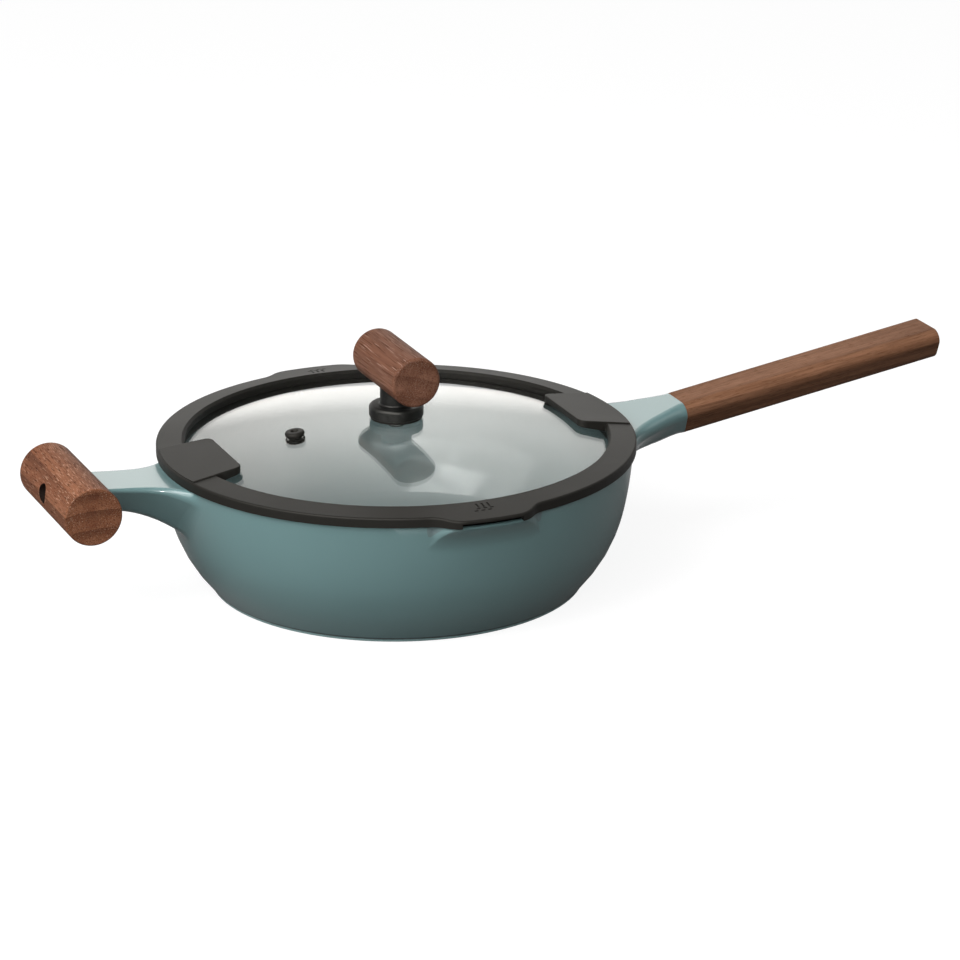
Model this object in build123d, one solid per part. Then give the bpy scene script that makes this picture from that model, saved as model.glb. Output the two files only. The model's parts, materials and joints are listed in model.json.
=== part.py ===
from build123d import *
import math
import os

# Saute pan with a domed glass lid, in millimetres.
# The origin is the middle of the underside. +Z is up and +X runs along the long handle.
# The short helper handle is on -X, and the two pouring lips are on +Y and -Y.

# Bowl of the casting
PAN_HEIGHT = 82.0
MOUTH_RADIUS = 140.0
RIM_WALL = 3.2
HEEL_RADIUS = 114.6
HEEL_WALL = 3.8
FOOT_HEIGHT = 1.8
FOOT_STEP = 0.9
FLOOR_THICKNESS = 6.0
FLOOR_FILLET = 16.0
# Turns the bowl's start line, which has no width, clear of the arms and the lips
BOWL_SEAM_TURN = 45.0
# Shares of the way from the heel to the rim, across and up, of the two points that bend the wall
WALL_HIGH_SHARES = (0.867, 0.465)
WALL_LOW_SHARES = (0.65, 0.266)

# Pouring lips: the wall flares out between two slanted shoulders
LIP_REACH = 8.0
LIP_FULL_HALF = 23.0
LIP_FOOT_HALF = 36.0
LIP_ROUND = 16.0
LIP_DEPTH = 17.0
LIP_ROOT_SINK = 0.5
LIP_SINK = 2.6
LIP_BEND_SHARE = 0.45
LIP_BEND_OUT = 0.6
LIP_EDGE_ROUND = 1.0

# Cast arms: sections are wide at the top, narrow at the keel, with rounded corners
ARM_BURY = 17.2
ARM_SETBACK = 1.5
ARM_KEEL_ROUND = 7.0
ARM_ROOT_ROUND = 5.4
ARM_BLEND = 16.0
ARM_SEAM_SHARP = 1.5
LONG_ARM_ROOT_HALF = 62.0
LONG_ARM_ROOT_HEIGHT = 46.0
LONG_ARM_ROOT_KEEL_HALF = 14.0
HELPER_ARM_ROOT_HALF = 58.0
HELPER_ARM_ROOT_HEIGHT = 44.0
HELPER_ARM_ROOT_KEEL_HALF = 12.0
# Stations along an arm from its root to its joint. Each row has the place, then how much is still
# left there of the root's extra width, extra depth and extra rounding.
LONG_ARM_SHARES = (
    (0.0, 1.0, 1.0, 1.0), (0.30, 0.56, 0.28, 1.0), (0.44, 0.41, 0.05, 1.0),
    (0.60, 0.265, 0.0, 0.8), (0.78, 0.125, 0.0, 0.44), (1.0, 0.0, 0.0, 0.0))
HELPER_ARM_SHARES = (
    (0.0, 1.0, 1.0, 1.0), (0.25, 0.315, 0.47, 0.6), (0.365, 0.125, 0.29, 0.3),
    (0.53, 0.03, 0.11, 0.1), (0.70, 0.01, 0.02, 0.0), (1.0, 0.0, 0.0, 0.0))

# Long handle, a straight wooden bar that rises outwards
HANDLE_TILT = 9.0
HANDLE_JOINT_REACH = 42.8
HANDLE_JOINT_RISE = 7.0
HANDLE_LENGTH = 177.0
HANDLE_HALF_WIDTH = 20.5
HANDLE_HEIGHT = 22.5
HANDLE_KEEL_HALF = 6.2
HANDLE_END_HALF_WIDTH = 22.0
HANDLE_END_HEIGHT = 21.0
HANDLE_END_KEEL_HALF = 8.4
HANDLE_TOP_ROUND = 6.0
HANDLE_KEEL_ROUND = 9.3
HANDLE_END_ROUND = 0.8
TENON_WIDTH = 15.0
TENON_HEIGHT = 11.0
TENON_LENGTH = 12.0

# Helper handle, a wooden cylinder across the end of the short arm
HELPER_TILT = 8.0
HELPER_REACH = 62.3
HELPER_DROP = 2.3
HELPER_RADIUS = 17.4
HELPER_LENGTH = 90.8
HELPER_ARM_HALF = 19.0
HELPER_ARM_HEIGHT = 16.8
HELPER_ARM_KEEL_HALF = 8.0
HELPER_ARM_TOP = 7.2
HELPER_ARM_ROUND = 1.6
GRIP_END_ROUND = 1.0

# Bolts that draw the wooden grips onto the casting
BOLT_RADIUS = 3.0
BOLT_HEAD_RADIUS = 5.0
BOLT_HEAD_HEIGHT = 5.0
BOLT_KEY_ACROSS = 5.0
BOLT_KEY_DEPTH = 2.8
BOLT_THREAD_DEPTH = 18.0
BOLT_WASHER_RADIUS = 5.6
BOLT_WASHER_THICKNESS = 1.2
COUNTERBORE_RADIUS = 5.8
COUNTERBORE_DEPTH = 10.0
BOLT_BORE_CLEARANCE = 0.3
THREAD_CLEARANCE = 0.05
SEAT_GAP = 0.05
END_PLAY = 1.0

# Steel disc pressed into the underside
FOOT_RING_WIDTH = 18.7
BASE_DISC_THICKNESS = 1.2

# Domed glass
GLASS_THICKNESS = 4.0
GLASS_EDGE_RISE = 0.8
GLASS_DOME_RADIUS = 515.0
GLASS_EDGE_ROUND = 1.2
GLASS_KNOB_HOLE_RADIUS = 5.0
VENT_DISTANCE = 65.0
GLASS_VENT_HOLE_RADIUS = 4.0

# Silicone rim round the glass
RIM_OVERHANG = 1.8
RIM_SIDE_HEIGHT = 5.8
RIM_CROWN = 2.0
RIM_GLASS_OVERLAP = 6.9
RIM_CHAMFER = 1.5
RIM_EDGE_ROUND = 1.2
SKIRT_DEPTH = 6.3
SKIRT_CLEARANCE = 1.4
SKIRT_TAPER = 0.5
SKIRT_WALL = 3.6
UNDER_LIP_OVERLAP = 5.5

# Bulges of the silicone rim over the pouring lips, with a drain slot under each
BULGE_REACH = 8.0
BULGE_FULL_HALF = 22.0
BULGE_FOOT_HALF = 32.0
BULGE_ROUND = 16.0
DRAIN_WIDTH = 38.0
DRAIN_HEIGHT = 2.9
STRAINER_ROOF = 0.7
COARSE_NOTCH_WIDTH = 7.0
COARSE_NOTCH_COUNT = 4
FINE_NOTCH_WIDTH = 2.6
FINE_NOTCH_COUNT = 9
NOTCH_SPREAD = 38.0

# Raised thumb tabs of the silicone rim, over both arms
TAB_REACH = 36.5
TAB_RISE = 5.2
TAB_FOOT = 0.3
TAB_SETBACK = 1.0
TAB_INNER_HALF = 28.5
TAB_OUTER_HALF = 33.0
TAB_CORNER_ROUND = 5.0
TAB_GLASS_GAP = 0.3
TAB_EDGE_ROUND = 0.6

# Marks pressed into the silicone beside each drain: short strokes over rows of dashes
MARK_INSET = 9.5
MARK_DEPTH = 0.5
STROKE_LENGTH = 5.0
STROKE_WIDTH = 1.1
STROKE_PITCH = 3.4
STROKE_COUNT = 3
DASH_LENGTH = 2.4
DASH_PITCH = 4.2
DASH_COUNT = 3
DASH_ROW_STEP = 2.4
DASH_ROWS = 2
DASH_STAGGER_SHARE = 0.5

# Steam vent grommet
VENT_BEAD_RADIUS = 6.0
VENT_BEAD_HEIGHT = 3.6
VENT_BEAD_ROUND = 1.7
VENT_BORE_RADIUS = 1.7
VENT_MOUTH_RADIUS = 2.6
VENT_MOUTH_DEPTH = 1.3
VENT_FLANGE_HEIGHT = 1.8

# Lid knob
KNOB_RISE = 29.9
KNOB_RADIUS = 15.4
KNOB_LENGTH = 67.0
KNOB_END_ROUND = 2.0
STEM_RADIUS = 9.8
STEM_FILLET = 1.2
STEM_SOCKET_DEPTH = 5.0
FLANGE_RADIUS = 16.5
FLANGE_HEIGHT = 7.4
FLANGE_SHOULDER = 2.2
FLANGE_FOOT_ROUND = 0.8
UPPER_GASKET_RADIUS = 15.6
UPPER_GASKET_THICKNESS = 1.2

# Knob screw and what it clamps below the glass
SCREW_RADIUS = 2.5
SCREW_HEAD_RADIUS = 4.8
SCREW_HEAD_HEIGHT = 2.2
SCREW_HEAD_ROUND = 0.8
SCREW_SLOT_WIDTH = 1.2
SCREW_SLOT_DEPTH = 0.9
SCREW_SLOT_LENGTH = 6.0
SCREW_BORE_CLEARANCE = 0.3
LOWER_WASHER_RADIUS = 8.0
LOWER_WASHER_THICKNESS = 0.8
LOWER_GASKET_RADIUS = 9.0
LOWER_GASKET_THICKNESS = 1.0
INSERT_RADIUS = 4.0
INSERT_LENGTH = 12.0

# How far a cutting shape runs past what it cuts
OVERRUN = 5.0

# Sizes and places worked out from the ones above
RIM_RADIUS = MOUTH_RADIUS + RIM_WALL
BASE_DISC_RADIUS = HEEL_RADIUS - FOOT_STEP - FOOT_RING_WIDTH
ARM_START = RIM_RADIUS - ARM_BURY
HANDLE_JOINT_X = RIM_RADIUS + HANDLE_JOINT_REACH
HANDLE_JOINT_TOP = PAN_HEIGHT + HANDLE_JOINT_RISE
HELPER_X = RIM_RADIUS + HELPER_REACH
HELPER_HEIGHT = PAN_HEIGHT - HELPER_DROP
SKIRT_RADIUS = MOUTH_RADIUS - SKIRT_CLEARANCE
GLASS_RADIUS = SKIRT_RADIUS - SKIRT_WALL
GLASS_FALL = GLASS_DOME_RADIUS - math.sqrt(GLASS_DOME_RADIUS ** 2 - GLASS_RADIUS ** 2)
GLASS_TOP_HEIGHT = PAN_HEIGHT + GLASS_EDGE_RISE + GLASS_FALL
RIM_OUTER_RADIUS = RIM_RADIUS + RIM_OVERHANG
RIM_INNER_RADIUS = GLASS_RADIUS - RIM_GLASS_OVERLAP
RIM_TOP = PAN_HEIGHT + RIM_SIDE_HEIGHT
UNDER_LIP_INNER_RADIUS = GLASS_RADIUS - UNDER_LIP_OVERLAP
TAB_INNER_DISTANCE = RIM_OUTER_RADIUS - TAB_REACH
MARK_DISTANCE = RIM_OUTER_RADIUS - MARK_INSET
KNOB_SEAT = GLASS_TOP_HEIGHT + UPPER_GASKET_THICKNESS
KNOB_HEIGHT = KNOB_SEAT + KNOB_RISE
STEM_TOP = KNOB_HEIGHT - KNOB_RADIUS + STEM_SOCKET_DEPTH


def unit_direction(tilt, side):
    """The way a handle runs outwards: side is 1 for the long handle and -1 for the helper."""
    angle = math.radians(tilt)
    return Vector(side * math.cos(angle), 0, math.sin(angle))


def turned(points_and_edges):
    """A solid turned about Z from edges drawn in the XZ plane."""
    return revolve(make_face(Curve() + points_and_edges), Axis.Z)


def polyline_face(points):
    """A flat face in the XZ plane from (radius, height) corners."""
    return make_face(Polyline(*[(r, 0, z) for r, z in points], close=True))


def rod(start, direction, radius, length):
    """A round bar from a point along a direction."""
    return Plane(start, z_dir=direction) * Cylinder(
        radius, length, align=(Align.CENTER, Align.CENTER, Align.MIN))


def ring(start, direction, radius, bore, length):
    """A round bar with a bore through it."""
    bar = rod(start, direction, radius, length)
    return bar - rod(start - direction * OVERRUN, direction, bore, length + 2 * OVERRUN)


# Pan casting


def wall_curve(rim_radius, heel_radius, heel_height):
    """The bend of the bowl's wall, from its heel up to its rim."""
    across = rim_radius - heel_radius
    up = PAN_HEIGHT - heel_height
    low = (heel_radius + across * WALL_LOW_SHARES[0], 0, heel_height + up * WALL_LOW_SHARES[1])
    high = (heel_radius + across * WALL_HIGH_SHARES[0], 0, heel_height + up * WALL_HIGH_SHARES[1])
    return Bezier((heel_radius, 0, heel_height), low, high, (rim_radius, 0, PAN_HEIGHT))


def upper_wall_radius(height):
    """The outer radius of the wall near its rim, where it is nearly straight."""
    across = (RIM_RADIUS - HEEL_RADIUS) * (1 - WALL_HIGH_SHARES[0])
    up = (PAN_HEIGHT - FOOT_HEIGHT) * (1 - WALL_HIGH_SHARES[1])
    return RIM_RADIUS - (PAN_HEIGHT - height) * across / up


def lobed_outline(radius, reach, full_half, foot_half, rounding):
    """A circle seen from above with a lobe towards +Y and -Y.

    The lobe's edge runs round the same centre between its shoulders, which slant from full_half
    at its outer edge to foot_half on the circle.
    """
    foot = Vector(foot_half, math.sqrt(radius ** 2 - foot_half ** 2))
    full = Vector(full_half, math.sqrt((radius + reach) ** 2 - full_half ** 2))
    inner = foot - (full - foot)
    outer = full + (full - foot)
    lobe = make_face(Polyline(
        (inner.X, inner.Y), (outer.X, outer.Y), (-outer.X, outer.Y), (-inner.X, inner.Y), close=True))
    lobe = lobe & Circle(radius + reach)
    shape = Circle(radius) + lobe + Rot(0, 0, 180) * lobe
    corners = [v for v in shape.vertices() if abs(v.Y) > radius / 2]
    return fillet(corners, rounding)


def bowl_outside():
    foot_radius = HEEL_RADIUS - FOOT_STEP
    edges = [
        Polyline((0, 0, PAN_HEIGHT), (0, 0, 0), (foot_radius, 0, 0),
                 (foot_radius, 0, FOOT_HEIGHT), (HEEL_RADIUS, 0, FOOT_HEIGHT)),
        wall_curve(RIM_RADIUS, HEEL_RADIUS, FOOT_HEIGHT),
        Line((RIM_RADIUS, 0, PAN_HEIGHT), (0, 0, PAN_HEIGHT)),
    ]
    return Rot(0, 0, BOWL_SEAM_TURN) * turned(edges)


def bowl_inside():
    heel = HEEL_RADIUS - HEEL_WALL
    top = PAN_HEIGHT + OVERRUN
    edges = [
        Polyline((0, 0, top), (0, 0, FLOOR_THICKNESS), (heel, 0, FLOOR_THICKNESS)),
        wall_curve(MOUTH_RADIUS, heel, FLOOR_THICKNESS),
        Polyline((MOUTH_RADIUS, 0, PAN_HEIGHT), (MOUTH_RADIUS, 0, top), (0, 0, top)),
    ]
    hollow = turned(edges)
    corner = hollow.edges().filter_by(GeomType.CIRCLE).sort_by(Axis.Z)[0]
    return fillet(corner, FLOOR_FILLET)


def lip_flares(inset, top):
    """Both pouring lips: a flared ring cut to the rim's lobes. inset is the wall taken off.

    The flare leaves the wall at a slight angle, so its foot hardly shows. Outside, where top is
    the rim itself, its edge is rounded.
    """
    rim = RIM_RADIUS + LIP_REACH - inset
    low = PAN_HEIGHT - LIP_DEPTH
    root = upper_wall_radius(low) - inset - LIP_ROOT_SINK
    bend_height = PAN_HEIGHT - LIP_DEPTH * LIP_BEND_SHARE
    bend = (upper_wall_radius(bend_height) - inset + LIP_BEND_OUT, 0, bend_height)
    foot = Polyline((0, 0, top), (0, 0, low), (root, 0, low))
    if top > PAN_HEIGHT:
        edges = [foot, Bezier((root, 0, low), bend, (rim, 0, PAN_HEIGHT)),
                 Polyline((rim, 0, PAN_HEIGHT), (rim, 0, top), (0, 0, top))]
    else:
        edge_low = (rim, 0, PAN_HEIGHT - LIP_EDGE_ROUND)
        edge_middle = (rim - LIP_EDGE_ROUND * (1 - math.sqrt(0.5)), 0,
                       PAN_HEIGHT - LIP_EDGE_ROUND * (1 - math.sqrt(0.5)))
        edge_top = (rim - LIP_EDGE_ROUND, 0, PAN_HEIGHT)
        edges = [foot, Bezier((root, 0, low), bend, edge_low),
                 ThreePointArc(edge_low, edge_middle, edge_top), Line(edge_top, (0, 0, top))]
    plan = lobed_outline(RIM_RADIUS - inset - LIP_SINK, LIP_REACH + LIP_SINK, LIP_FULL_HALF,
                         LIP_FOOT_HALF, LIP_ROUND)
    return turned(edges) & extrude(plan, 2 * PAN_HEIGHT)


def bar_section(plane, half, height, keel_half, top_round, keel_round):
    """A bar's section hung from the middle of its top: wide above, narrow at the keel."""
    outline = Polyline((half, 0), (-half, 0), (-keel_half, -height), (keel_half, -height), close=True)
    face = make_face(outline)
    face = fillet(face.vertices().group_by(Axis.Y)[-1], top_round)
    return plane * fillet(face.vertices().group_by(Axis.Y)[0], keel_round)


def handle_plane(along):
    """The square-cut plane of the long handle's bar, a distance along it, hung from its top."""
    direction = unit_direction(HANDLE_TILT, 1)
    origin = Vector(HANDLE_JOINT_X, 0, HANDLE_JOINT_TOP) + direction * along
    return Plane(origin, x_dir=(0, 1, 0), z_dir=direction)


def helper_plane(distance):
    """The same for the short arm: distance is counted from the wooden cylinder's axis."""
    direction = unit_direction(HELPER_TILT, -1)
    origin = Vector(-HELPER_X, 0, HELPER_HEIGHT) + direction * distance
    return Plane(origin + Vector(0, 0, HELPER_ARM_TOP), x_dir=(0, -1, 0), z_dir=direction)


def arm(side, joint_plane, joint, root, stations):
    """A cast arm, lofted from inside the bowl's wall out to its joint.

    joint and root each give a section's half width, height, keel half width and two roundings.
    """
    end = joint_plane.origin
    reach = abs(end.X) - ARM_START
    level = RIM_OUTER_RADIUS + ARM_SETBACK
    slope = (end.Z - PAN_HEIGHT) / (abs(end.X) - level)
    sections = []
    for place, width, depth, bend in stations:
        distance = ARM_START + reach * place
        top = PAN_HEIGHT + (distance - level) * slope
        plane = Plane((side * distance, 0, top), x_dir=(0, side, 0), z_dir=(side, 0, 0))
        if distance >= abs(end.X):
            plane = joint_plane
        sizes = [at_joint + (at_root - at_joint) * share
                 for at_joint, at_root, share in zip(joint, root, (width, depth, width, bend, bend))]
        sections.append(bar_section(plane, *sizes))
    return loft(sections)


def handle_axis_start():
    """Where the long handle's bolt line crosses the joint."""
    return handle_plane(0).from_local_coords(Vector(0, -HANDLE_HEIGHT / 2, 0))


def helper_axis_point(distance):
    return Vector(-HELPER_X, 0, HELPER_HEIGHT) + unit_direction(HELPER_TILT, -1) * distance


def tenon(grow):
    """The block on the long arm that stops the wood from turning."""
    plane = Plane(handle_axis_start(), x_dir=(0, 1, 0), z_dir=unit_direction(HANDLE_TILT, 1))
    size = (TENON_WIDTH + 2 * grow, TENON_HEIGHT + 2 * grow, TENON_LENGTH + grow)
    return plane * Box(*size, align=(Align.CENTER, Align.CENTER, Align.MIN))


def helper_cylinder(radius, length):
    return Pos(-HELPER_X, 0, HELPER_HEIGHT) * Rot(90, 0, 0) * Cylinder(radius, length)


def with_arm(bowl, cast_arm):
    """The bowl and an arm in one casting, softly blended where the arm leaves the wall.

    Only the seam just under the rim, which the lid covers, stays sharp.
    """
    both = bowl + cast_arm
    seam = [edge for edge in new_edges(bowl, cast_arm, combined=both)
            if (edge @ 0.5).Z < PAN_HEIGHT - ARM_SEAM_SHARP]
    return fillet(seam, ARM_BLEND)


def pan_body():
    inside = bowl_inside() + lip_flares(RIM_WALL, PAN_HEIGHT + OVERRUN)
    long_joint = (HANDLE_HALF_WIDTH, HANDLE_HEIGHT, HANDLE_KEEL_HALF, HANDLE_TOP_ROUND,
                  HANDLE_KEEL_ROUND)
    long_root = (LONG_ARM_ROOT_HALF, LONG_ARM_ROOT_HEIGHT, LONG_ARM_ROOT_KEEL_HALF, ARM_ROOT_ROUND,
                 ARM_KEEL_ROUND)
    long_arm = arm(1, handle_plane(0), long_joint, long_root, LONG_ARM_SHARES)
    short_joint = (HELPER_ARM_HALF, HELPER_ARM_HEIGHT, HELPER_ARM_KEEL_HALF, HELPER_ARM_ROUND,
                   ARM_KEEL_ROUND)
    short_root = (HELPER_ARM_ROOT_HALF, HELPER_ARM_ROOT_HEIGHT, HELPER_ARM_ROOT_KEEL_HALF,
                  ARM_ROOT_ROUND, ARM_KEEL_ROUND)
    short_arm = arm(-1, helper_plane(0), short_joint, short_root, HELPER_ARM_SHARES)
    short_arm -= helper_cylinder(HELPER_RADIUS + SEAT_GAP, HELPER_LENGTH)
    short_arm = short_arm.solids().sort_by(SortBy.VOLUME)[-1]
    outside = with_arm(with_arm(bowl_outside(), short_arm), long_arm)
    body = outside + lip_flares(0, PAN_HEIGHT) - inside
    body += tenon(0)
    outward = unit_direction(HANDLE_TILT, 1)
    body -= rod(handle_axis_start() - outward * BOLT_THREAD_DEPTH, outward,
                BOLT_RADIUS + THREAD_CLEARANCE, BOLT_THREAD_DEPTH + TENON_LENGTH + OVERRUN)
    inward = unit_direction(HELPER_TILT, -1) * -1
    body -= rod(helper_axis_point(0), inward, BOLT_RADIUS + THREAD_CLEARANCE,
                HELPER_RADIUS + BOLT_THREAD_DEPTH)
    recess = Cylinder(BASE_DISC_RADIUS + SEAT_GAP, BASE_DISC_THICKNESS,
                      align=(Align.CENTER, Align.CENTER, Align.MIN))
    return body - recess


def base_disc():
    return Cylinder(BASE_DISC_RADIUS, BASE_DISC_THICKNESS,
                    align=(Align.CENTER, Align.CENTER, Align.MIN))


# Handles


def handle_grip():
    start = bar_section(handle_plane(0), HANDLE_HALF_WIDTH, HANDLE_HEIGHT, HANDLE_KEEL_HALF,
                        HANDLE_TOP_ROUND, HANDLE_KEEL_ROUND)
    end = bar_section(handle_plane(HANDLE_LENGTH), HANDLE_END_HALF_WIDTH, HANDLE_END_HEIGHT,
                      HANDLE_END_KEEL_HALF, HANDLE_TOP_ROUND, HANDLE_KEEL_ROUND)
    bar = loft([start, end], ruled=True)
    end_edges = bar.faces().sort_by(Axis.X)[-1].edges()
    bar = fillet(end_edges, HANDLE_END_ROUND)
    outward = unit_direction(HANDLE_TILT, 1)
    bar -= tenon(SEAT_GAP)
    bar -= rod(handle_axis_start(), outward, BOLT_RADIUS + BOLT_BORE_CLEARANCE,
               HANDLE_LENGTH + OVERRUN)
    floor = handle_axis_start() + outward * (HANDLE_LENGTH - COUNTERBORE_DEPTH)
    return bar - rod(floor, outward, COUNTERBORE_RADIUS, COUNTERBORE_DEPTH + OVERRUN)


def bolt(seat, inward, length):
    """A socket-head bolt whose head rests on a washer at seat and whose shank runs inwards."""
    head = rod(seat - inward * BOLT_HEAD_HEIGHT, inward, BOLT_HEAD_RADIUS, BOLT_HEAD_HEIGHT)
    shank = rod(seat, inward, BOLT_RADIUS, length)
    key_plane = Plane(seat - inward * BOLT_HEAD_HEIGHT, z_dir=inward)
    hexagon = key_plane * RegularPolygon(BOLT_KEY_ACROSS / 2, 6, major_radius=False)
    return head + shank - extrude(hexagon, BOLT_KEY_DEPTH)


def handle_washer_seat():
    return handle_axis_start() + unit_direction(HANDLE_TILT, 1) * (HANDLE_LENGTH - COUNTERBORE_DEPTH)


def handle_bolt():
    outward = unit_direction(HANDLE_TILT, 1)
    seat = handle_washer_seat() + outward * BOLT_WASHER_THICKNESS
    in_wood = HANDLE_LENGTH - COUNTERBORE_DEPTH + BOLT_WASHER_THICKNESS
    return bolt(seat, outward * -1, in_wood + BOLT_THREAD_DEPTH - END_PLAY)


def handle_washer():
    return ring(handle_washer_seat(), unit_direction(HANDLE_TILT, 1), BOLT_WASHER_RADIUS,
                BOLT_RADIUS + BOLT_BORE_CLEARANCE, BOLT_WASHER_THICKNESS)


def helper_washer_seat():
    return helper_axis_point(HELPER_RADIUS - COUNTERBORE_DEPTH)


def helper_grip():
    grip = helper_cylinder(HELPER_RADIUS, HELPER_LENGTH)
    grip = fillet(grip.edges().filter_by(GeomType.CIRCLE), GRIP_END_ROUND)
    outward = unit_direction(HELPER_TILT, -1)
    through = rod(helper_axis_point(-HELPER_RADIUS - OVERRUN), outward,
                  BOLT_RADIUS + BOLT_BORE_CLEARANCE, 2 * (HELPER_RADIUS + OVERRUN))
    return grip - through - rod(helper_washer_seat(), outward, COUNTERBORE_RADIUS,
                                COUNTERBORE_DEPTH + OVERRUN)


def helper_bolt():
    outward = unit_direction(HELPER_TILT, -1)
    seat = helper_washer_seat() + outward * BOLT_WASHER_THICKNESS
    in_wood = 2 * HELPER_RADIUS - COUNTERBORE_DEPTH + BOLT_WASHER_THICKNESS
    return bolt(seat, outward * -1, in_wood + BOLT_THREAD_DEPTH - END_PLAY)


def helper_washer():
    return ring(helper_washer_seat(), unit_direction(HELPER_TILT, -1), BOLT_WASHER_RADIUS,
                BOLT_RADIUS + BOLT_BORE_CLEARANCE, BOLT_WASHER_THICKNESS)


# Lid


def dome_height(radius, sphere_radius):
    """Height of a dome's surface at a radius, with all domes about one centre."""
    centre = GLASS_TOP_HEIGHT - GLASS_DOME_RADIUS
    return centre + math.sqrt(sphere_radius ** 2 - radius ** 2)


def dome_arc(inner, outer, sphere_radius):
    """The line of a dome in the XZ plane, from one radius out to another."""
    points = [(r, 0, dome_height(r, sphere_radius)) for r in (inner, (inner + outer) / 2, outer)]
    return ThreePointArc(*points)


def dome_shell(radius, outer_sphere, inner_sphere):
    outer = dome_arc(0, radius, outer_sphere)
    inner = dome_arc(0, radius, inner_sphere)
    edges = [outer, Line(outer @ 1, inner @ 1), inner, Line(inner @ 0, outer @ 0)]
    return turned(edges)


def vent_plane():
    """The tangent plane of the glass at the steam vent."""
    height = dome_height(VENT_DISTANCE, GLASS_DOME_RADIUS)
    centre = Vector(0, 0, GLASS_TOP_HEIGHT - GLASS_DOME_RADIUS)
    point = Vector(-VENT_DISTANCE, 0, height)
    return Plane(point, x_dir=(0, 1, 0), z_dir=(point - centre))


def lid_glass():
    glass = dome_shell(GLASS_RADIUS, GLASS_DOME_RADIUS, GLASS_DOME_RADIUS - GLASS_THICKNESS)
    edge = glass.edges().filter_by(GeomType.CIRCLE).sort_by(SortBy.LENGTH)[-2:]
    glass = fillet(edge, GLASS_EDGE_ROUND)
    through = 2 * GLASS_THICKNESS + OVERRUN
    glass -= Pos(0, 0, GLASS_TOP_HEIGHT) * Cylinder(GLASS_KNOB_HOLE_RADIUS, through)
    return glass - vent_plane() * Cylinder(GLASS_VENT_HOLE_RADIUS, through)


def tab_clearance():
    """All that lies under a thumb tab's free end, up to a gap above the glass."""
    reach = (SKIRT_RADIUS + GLASS_RADIUS) / 2
    arc = dome_arc(0, reach, GLASS_DOME_RADIUS + TAB_GLASS_GAP)
    floor = PAN_HEIGHT - SKIRT_DEPTH - OVERRUN
    walls = Polyline(arc @ 1, (reach, 0, floor), (0, 0, floor), arc @ 0)
    return turned([arc, walls])


def rim_height(radius):
    """Height of the silicone's top, a cone that falls outwards and runs on over the bulges."""
    run = RIM_OUTER_RADIUS - RIM_INNER_RADIUS - RIM_CHAMFER
    return RIM_TOP + RIM_CROWN * (RIM_OUTER_RADIUS - radius) / run


def rim_disc():
    """The rim's section turned about Z out past the bulges: a lip over the glass, a groove, a skirt."""
    crown_radius = RIM_INNER_RADIUS + RIM_CHAMFER
    groove = GLASS_RADIUS + SEAT_GAP
    beyond = RIM_OUTER_RADIUS + BULGE_REACH + OVERRUN
    over_glass = dome_arc(RIM_INNER_RADIUS, groove, GLASS_DOME_RADIUS + SEAT_GAP)
    glass_underside = GLASS_DOME_RADIUS - GLASS_THICKNESS
    under_glass = dome_arc(UNDER_LIP_INNER_RADIUS, groove, glass_underside - SEAT_GAP)
    outside = Polyline(
        under_glass @ 0,
        (UNDER_LIP_INNER_RADIUS, 0, PAN_HEIGHT - SKIRT_DEPTH),
        (SKIRT_RADIUS - SKIRT_TAPER, 0, PAN_HEIGHT - SKIRT_DEPTH),
        (SKIRT_RADIUS, 0, PAN_HEIGHT),
        (beyond, 0, PAN_HEIGHT),
        (beyond, 0, rim_height(beyond)),
        (crown_radius, 0, rim_height(crown_radius)),
        (RIM_INNER_RADIUS, 0, rim_height(crown_radius) - RIM_CHAMFER),
        over_glass @ 0)
    return turned([over_glass, Line(over_glass @ 1, under_glass @ 1), under_glass, outside])


def outer_top_edges(rim):
    """The rim's outer top edge, round its circle and both bulges."""
    return [e for e in rim.edges()
            if min((e @ 0).Z, (e @ 1).Z) > PAN_HEIGHT + DRAIN_HEIGHT
            and math.hypot((e @ 0.5).X, (e @ 0.5).Y) > RIM_OUTER_RADIUS - SEAT_GAP]


def tab(side):
    """A thumb tab: a wedge that rises inwards from near the rim's outer edge, above the glass."""
    plan = make_face(Polyline(
        (TAB_INNER_DISTANCE, TAB_INNER_HALF), (TAB_INNER_DISTANCE, -TAB_INNER_HALF),
        (RIM_OUTER_RADIUS, -TAB_OUTER_HALF), (RIM_OUTER_RADIUS, TAB_OUTER_HALF), close=True))
    plan = fillet(plan.vertices().group_by(Axis.X)[0], TAB_CORNER_ROUND)
    floor = PAN_HEIGHT + RIM_SIDE_HEIGHT / 2
    block = Pos(0, 0, floor) * extrude(plan, PAN_HEIGHT)
    profile = polyline_face([
        (RIM_OUTER_RADIUS, RIM_TOP + TAB_FOOT), (TAB_INNER_DISTANCE, RIM_TOP + TAB_RISE),
        (TAB_INNER_DISTANCE, floor), (RIM_OUTER_RADIUS, floor)])
    wedge = extrude(profile, TAB_OUTER_HALF, both=True)
    shape = block & wedge & Cylinder(RIM_OUTER_RADIUS - TAB_SETBACK, 2 * (PAN_HEIGHT + RIM_TOP))
    top = shape.faces().sort_by(Axis.Z)[-1]
    inner_edges = [e for e in top.edges() if (e @ 0.5).X < RIM_INNER_RADIUS]
    shape = fillet(inner_edges, TAB_EDGE_ROUND) - tab_clearance()
    return Rot(0, 0, 0 if side > 0 else 180) * shape


def groove_floor():
    """The lowest height of the groove that holds the glass."""
    return dome_height(GLASS_RADIUS + SEAT_GAP, GLASS_DOME_RADIUS - GLASS_THICKNESS - SEAT_GAP)


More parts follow.
